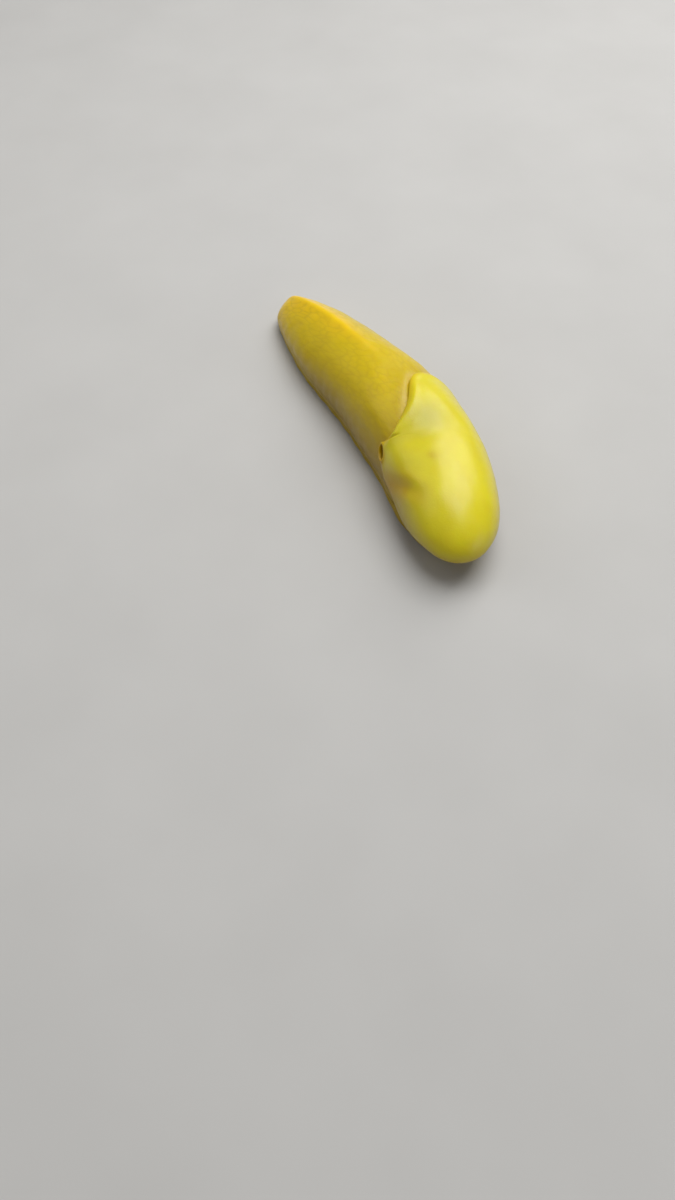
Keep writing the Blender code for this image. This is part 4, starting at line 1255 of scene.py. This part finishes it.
points = read_points(skin) / MM
normal = read_points(skin, "normal")
s, u = unplace(points)
z = points[:, 2]
angle = around(s, u, z)
top_z = height(s)
keel = hill(u, 0.0, KEEL_PAINT + KEEL_PAINT_TAIL * smooth(56.0, 28.0, s))
keel = keel * smooth(62.0, 34.0, s) * smooth(0.45, 0.75, z / top_z)
# low: painted shade, darker towards the bottom of the body and weaker towards the tail
low = smooth(0.95, 0.15, z / top_z) * (1.0 - 0.55 * smooth(50.0, 20.0, s))
# painted light on the fold that faces up: the painted shade is mostly left off there
low = low * (1.0 - 0.9 * spot_on(s, angle, PAINTED_LIGHT_FOLD))
# painted shade over the shell's swelling, on the mantle only
shell_shade = spot_on(s, angle, SHELL_SHADE) * recall(skin, "mantle")
tail_end = smooth(26.0, 2.0, s)
# a brown stain and painted shade along the crease, painted shade round the pore, and a brown spot
stain_and_shade = np.zeros(len(s))
for start, end, reach, strength in STAINS_AND_SHADES:
    gap = from_line(s, angle, (start, end))[0]
    stain_and_shade = np.maximum(stain_and_shade, strength * hill(gap, 0.0, reach))
# painted shade inside the breathing pore
pore_gap = points - pore_centre
pore_flat = np.hypot(pore_gap @ pore_turn[:, 0] / PORE_LONG, pore_gap @ pore_turn[:, 1] / PORE_WIDE)
pore = smooth(1.05, 0.6, pore_flat) * smooth(4.0, 3.0, np.linalg.norm(pore_gap, axis=1))
sole = smooth(0.6, 0.1, z) * smooth(-0.6, -0.9, normal[:, 2])
masks = {"keel": keel, "low": low, "tail_end": tail_end, "stain_and_shade": stain_and_shade}
masks.update({"shell_shade": shell_shade, "pore": pore, "sole": sole})
for name, values in masks.items():
    store(skin, name, np.clip(values, 0.0, 1.0))
print("stained_and_shaded:", round(float((stain_and_shade > 0.3).mean() * 100), 1), "% of the points")

# %% [markdown]
# ## Skin material
# Living slug skin is translucent, yellow and covered by a film of slime. The colour is mixed by the
# masks in layers, as a painter glazes: ochre and orange on the tail and the keel, brown blotches and
# specks, a small brown spot and a brown stain in the crease. Painted shade goes on as olive over the
# shell's swelling, low on the flanks and behind the mantle's margin, and as brown or dark in the grooves,
# the crease, round and inside the breathing pore and in the mouth. The face is painted paler, partly its
# own colour and partly painted light. Light sinks in and comes out warmer, and a clear coat stands for
# the film. One bump gives the fine grain and the other rules the fringe.

# %% Skin material
YELLOW = (0.68, 0.50, 0.004)
MANTLE_YELLOW = (0.76, 0.66, 0.012)
# Painted shade in olive over the shell's swelling.
SHELL_SHADE_OLIVE = (0.26, 0.26, 0.03)
KEEL_ORANGE = (0.92, 0.60, 0.004)
TAIL_OCHRE = (0.86, 0.57, 0.005)
# Painted shade in olive, low on the body and behind the mantle's margin.
LOW_SHADE_OLIVE = (0.30, 0.185, 0.002)
# Brown for random blotches and specks, and painted shade in the grooves and on the fringe's lines.
BROWN_BLOTCH_AND_GROOVE_SHADE = (0.44, 0.28, 0.010)
# Brown for the stain and spot, and for the painted shade in the crease and round the pore.
STAIN_AND_SHADE_BROWN = (0.50, 0.26, 0.001)
# Painted shade inside the breathing pore and the mouth.
PORE_AND_MOUTH_SHADE = (0.13, 0.075, 0.010)
FRINGE_BUFF = (0.60, 0.42, 0.020)
SOLE_PALE = (0.68, 0.55, 0.18)
# The face's own paler yellow, and painted light where the mantle's hood shades it.
FACE_YELLOW_AND_PAINTED_LIGHT = (0.80, 0.62, 0.030)
FRINGE_LINE = 0.9
FIRST_LAYERS = (
    ("tail_end", TAIL_OCHRE, 0.8),
    ("keel", KEEL_ORANGE, 0.9),
    # painted shade over the shell's swelling
    ("shell_shade", SHELL_SHADE_OLIVE, 0.42),
    # painted shade low on the body
    ("low", LOW_SHADE_OLIVE, 0.95),
    # painted shade behind the mantle's margin
    ("behind", LOW_SHADE_OLIVE, 0.2),
    # the face's paler colour and painted light under the hood
    ("face", FACE_YELLOW_AND_PAINTED_LIGHT, 0.8),
)


class Paint:
    """Adds nodes to a material and wires them up."""

    def __init__(self, name):
        self.material = bpy.data.materials.new(name)
        self.material.use_nodes = True
        self.tree = self.material.node_tree
        self.shader = self.tree.nodes["Principled BSDF"]

    def node(self, kind, **settings):
        node = self.tree.nodes.new(kind)
        for name, value in settings.items():
            setattr(node, name, value)
        return node

    def link(self, output, socket):
        self.tree.links.new(output, socket)

    def mask(self, name):
        return self.node("ShaderNodeAttribute", attribute_name=name).outputs["Fac"]

    def times(self, value, factor):
        node = self.node("ShaderNodeMath", operation="MULTIPLY")
        self.link(value, node.inputs[0])
        if isinstance(factor, float):
            node.inputs[1].default_value = factor
        else:
            self.link(factor, node.inputs[1])
        return node.outputs[0]

    def mix(self, below, above, amount):
        """One colour laid over another by an amount."""
        node = self.node("ShaderNodeMix", data_type="RGBA")
        self.link(amount, node.inputs["Factor"])
        for colour, socket in ((below, node.inputs[6]), (above, node.inputs[7])):
            if isinstance(colour, tuple):
                socket.default_value = (*colour, 1.0)
            else:
                self.link(colour, socket)
        return node.outputs[2]

    def layer(self, below, above, mask, strength):
        """One colour laid over another where a mask says."""
        return self.mix(below, above, self.times(self.mask(mask), strength))

    def noise(self, size_mm, detail=3.0, stretch=(1.0, 1.0, 1.0)):
        """Noise on the object's own coordinates, with cells of about size_mm."""
        coordinates = self.node("ShaderNodeTexCoord")
        mapping = self.node("ShaderNodeMapping")
        mapping.inputs["Scale"].default_value = stretch
        self.link(coordinates.outputs["Object"], mapping.inputs["Vector"])
        noise = self.node("ShaderNodeTexNoise")
        noise.inputs["Scale"].default_value = 1.0 / (size_mm * MM)
        noise.inputs["Detail"].default_value = detail
        self.link(mapping.outputs["Vector"], noise.inputs["Vector"])
        return noise.outputs["Fac"]

    def bump(self, height, strength, distance, below=None):
        node = self.node("ShaderNodeBump")
        node.inputs["Strength"].default_value = strength
        node.inputs["Distance"].default_value = abs(distance)
        node.invert = distance < 0
        self.link(height, node.inputs["Height"])
        if below is not None:
            self.link(below, node.inputs["Normal"])
        return node.outputs["Normal"]

    def ruling(self, distance, pitch):
        """Thin lines at a pitch along a distance: 1 on a line and 0 between."""
        angle = self.times(distance, 2.0 * math.pi / pitch)
        wave = self.node("ShaderNodeMath", operation="COSINE")
        self.link(angle, wave.inputs[0])
        return self.band(wave.outputs[0], 0.45, 0.95)

    def band(self, value, low, high, out_low=0.0, out_high=1.0):
        node = self.node("ShaderNodeMapRange", interpolation_type="SMOOTHSTEP")
        self.link(value, node.inputs["Value"])
        node.inputs["From Min"].default_value = low
        node.inputs["From Max"].default_value = high
        node.inputs["To Min"].default_value = out_low
        node.inputs["To Max"].default_value = out_high
        return node.outputs["Result"]


def slug_skin():
    paint = Paint("slug_skin")
    colour = paint.mix(YELLOW, MANTLE_YELLOW, paint.mask("mantle"))
    for mask, above, strength in FIRST_LAYERS:
        colour = paint.layer(colour, above, mask, strength)
    blotch = paint.band(paint.noise(7.0), 0.35, 0.75)
    colour = paint.mix(colour, BROWN_BLOTCH_AND_GROOVE_SHADE, paint.times(blotch, 0.12))
    # painted shade in the grooves
    colour = paint.layer(colour, BROWN_BLOTCH_AND_GROOVE_SHADE, "groove", 0.34)
    # brown stain and spot, with painted shade in the crease and round the pore
    colour = paint.layer(colour, STAIN_AND_SHADE_BROWN, "stain_and_shade", 0.7)
    speck = paint.band(paint.noise(1.1, 2.0), 0.66, 0.78)
    colour = paint.mix(colour, BROWN_BLOTCH_AND_GROOVE_SHADE, paint.times(speck, 0.18))
    colour = paint.layer(colour, FRINGE_BUFF, "fringe", 0.6)
    ruled = paint.times(paint.ruling(paint.mask("run"), FRINGE_LINE), paint.mask("fringe"))
    # painted shade on the fringe's ruled lines
    colour = paint.mix(colour, BROWN_BLOTCH_AND_GROOVE_SHADE, paint.times(ruled, 0.3))
    colour = paint.mix(colour, SOLE_PALE, paint.mask("sole"))
    # painted shade in the mouth and inside the breathing pore
    colour = paint.layer(colour, PORE_AND_MOUTH_SHADE, "mouth", 0.7)
    colour = paint.mix(colour, PORE_AND_MOUTH_SHADE, paint.mask("pore"))
    paint.link(colour, paint.shader.inputs["Base Color"])
    rough = paint.band(paint.noise(2.4), 0.3, 0.75, 0.30, 0.46)
    paint.link(rough, paint.shader.inputs["Roughness"])
    paint.shader.inputs["Specular IOR Level"].default_value = 0.35
    paint.shader.inputs["Subsurface Weight"].default_value = 0.2
    paint.shader.inputs["Subsurface Radius"].default_value = (1.0, 0.55, 0.08)
    paint.shader.inputs["Subsurface Scale"].default_value = 0.002
    wet = paint.times(paint.mask("mantle"), paint.band(paint.mask("stain_and_shade"), 0.0, 0.8, 1.0, 0.3))
    wet = paint.band(wet, 0.0, 1.0, 0.18, 0.5)
    paint.link(wet, paint.shader.inputs["Coat Weight"])
    paint.shader.inputs["Coat Roughness"].default_value = 0.25
    paint.shader.inputs["Coat IOR"].default_value = 1.38
    grain = paint.bump(paint.noise(0.5, 3.0), 0.5, 0.0001)
    lines = paint.bump(ruled, 0.5, -0.00008, grain)
    paint.link(lines, paint.shader.inputs["Normal"])
    return paint.material


skin.data.materials.clear()
skin.data.materials.append(slug_skin())
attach(skin, "root")
flesh = [name for name in frame["nodes"] if not name.startswith("eye_")]
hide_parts(*flesh)

# %% [markdown]
# ## Eyes
# A slug's eye is a dark bead in the tip of each upper tentacle. Here the tentacles are drawn in to
# short stalks, and the bead sits almost flush. A ray back along each stalk finds the skin of its tip.

# %% Eyes
EYE_RADIUS = 0.40
EYE_SUNK = 0.27
PAST_TIP = 6.0


def eye_material():
    paint = Paint("eye_bead")
    clouded = paint.band(paint.noise(0.4), 0.4, 0.7)
    colour = paint.mix((0.012, 0.008, 0.006), (0.045, 0.028, 0.012), clouded)
    paint.link(colour, paint.shader.inputs["Base Color"])
    paint.shader.inputs["Roughness"].default_value = 0.2
    paint.shader.inputs["Coat Weight"].default_value = 0.6
    paint.shader.inputs["Coat Roughness"].default_value = 0.08
    return paint.material


eye_finish = eye_material()
for name, side in (("left", 1.0), ("right", -1.0)):
    eye = start_ball(f"eye_bead_{name}", 32, 20)
    way = pointing(UPPER_ROOT[0], UPPER_TIP, UPPER_SPREAD * side)
    root = place(UPPER_ROOT[0], UPPER_ROOT[1] * side, UPPER_ROOT[2])
    tip = skin.ray_cast(Vector((root + way * PAST_TIP) * MM), Vector(-way))[1]
    centre = np.array(tip) / MM - way * EYE_SUNK
    write_points(eye, (centre + read_points(eye) * EYE_RADIUS) * MM)
    take(eye)
    bpy.ops.object.shade_smooth()
    eye.data.materials.append(eye_finish)
    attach(eye, "root")
    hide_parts(f"eye_{name}")
print("eyes of", EYE_RADIUS, "mm radius")

# %% [markdown]
# ## Floor and light
# A pale, matt floor and four soft square lamps give the light of an open sky. The sky lamp is the
# largest and strongest and hangs high over the slug. The side lamp stands behind its left, the weaker
# rim lamp behind its right, and the low lamp in front of its left lights the face under the mantle.

# %% Floor
bpy.ops.mesh.primitive_plane_add(size=3.0, location=(0.0, 0.0, 0.0))
floor = bpy.context.object
floor.name = "floor"


def floor_material():
    paint = Paint("pale_floor")
    mottle = paint.noise(40.0)
    colour = paint.mix((0.50, 0.49, 0.47), (0.56, 0.55, 0.53), mottle)
    paint.link(colour, paint.shader.inputs["Base Color"])
    paint.shader.inputs["Roughness"].default_value = 0.8
    return paint.material


floor.data.materials.append(floor_material())

# %% Light
bpy.context.scene.view_settings.view_transform = "Standard"
world = bpy.data.worlds.new("studio")
world.use_nodes = True
world.node_tree.nodes["Background"].inputs["Color"].default_value = (0.97, 0.98, 1.0, 1.0)
world.node_tree.nodes["Background"].inputs["Strength"].default_value = 0.15
bpy.context.scene.world = world
AIM = Vector((0.0, 0.0, 0.012))


def soft_light(name, place, size, power):
    """A square area light that looks at the slug."""
    bpy.ops.object.light_add(type="AREA", location=place)
    light = bpy.context.object
    light.name = name
    light.data.size = size
    light.data.energy = power
    light.rotation_euler = (AIM - Vector(place)).to_track_quat("-Z", "Y").to_euler()
    return light


soft_light("sky", (0.17, 0.12, 0.82), 0.70, 6.0)
soft_light("side", (0.50, 0.36, 0.52), 0.50, 2.0)
soft_light("rim", (-0.51, 0.30, 0.54), 0.50, 0.7)
soft_light("low", (0.56, -0.68, 0.20), 0.50, 0.8)
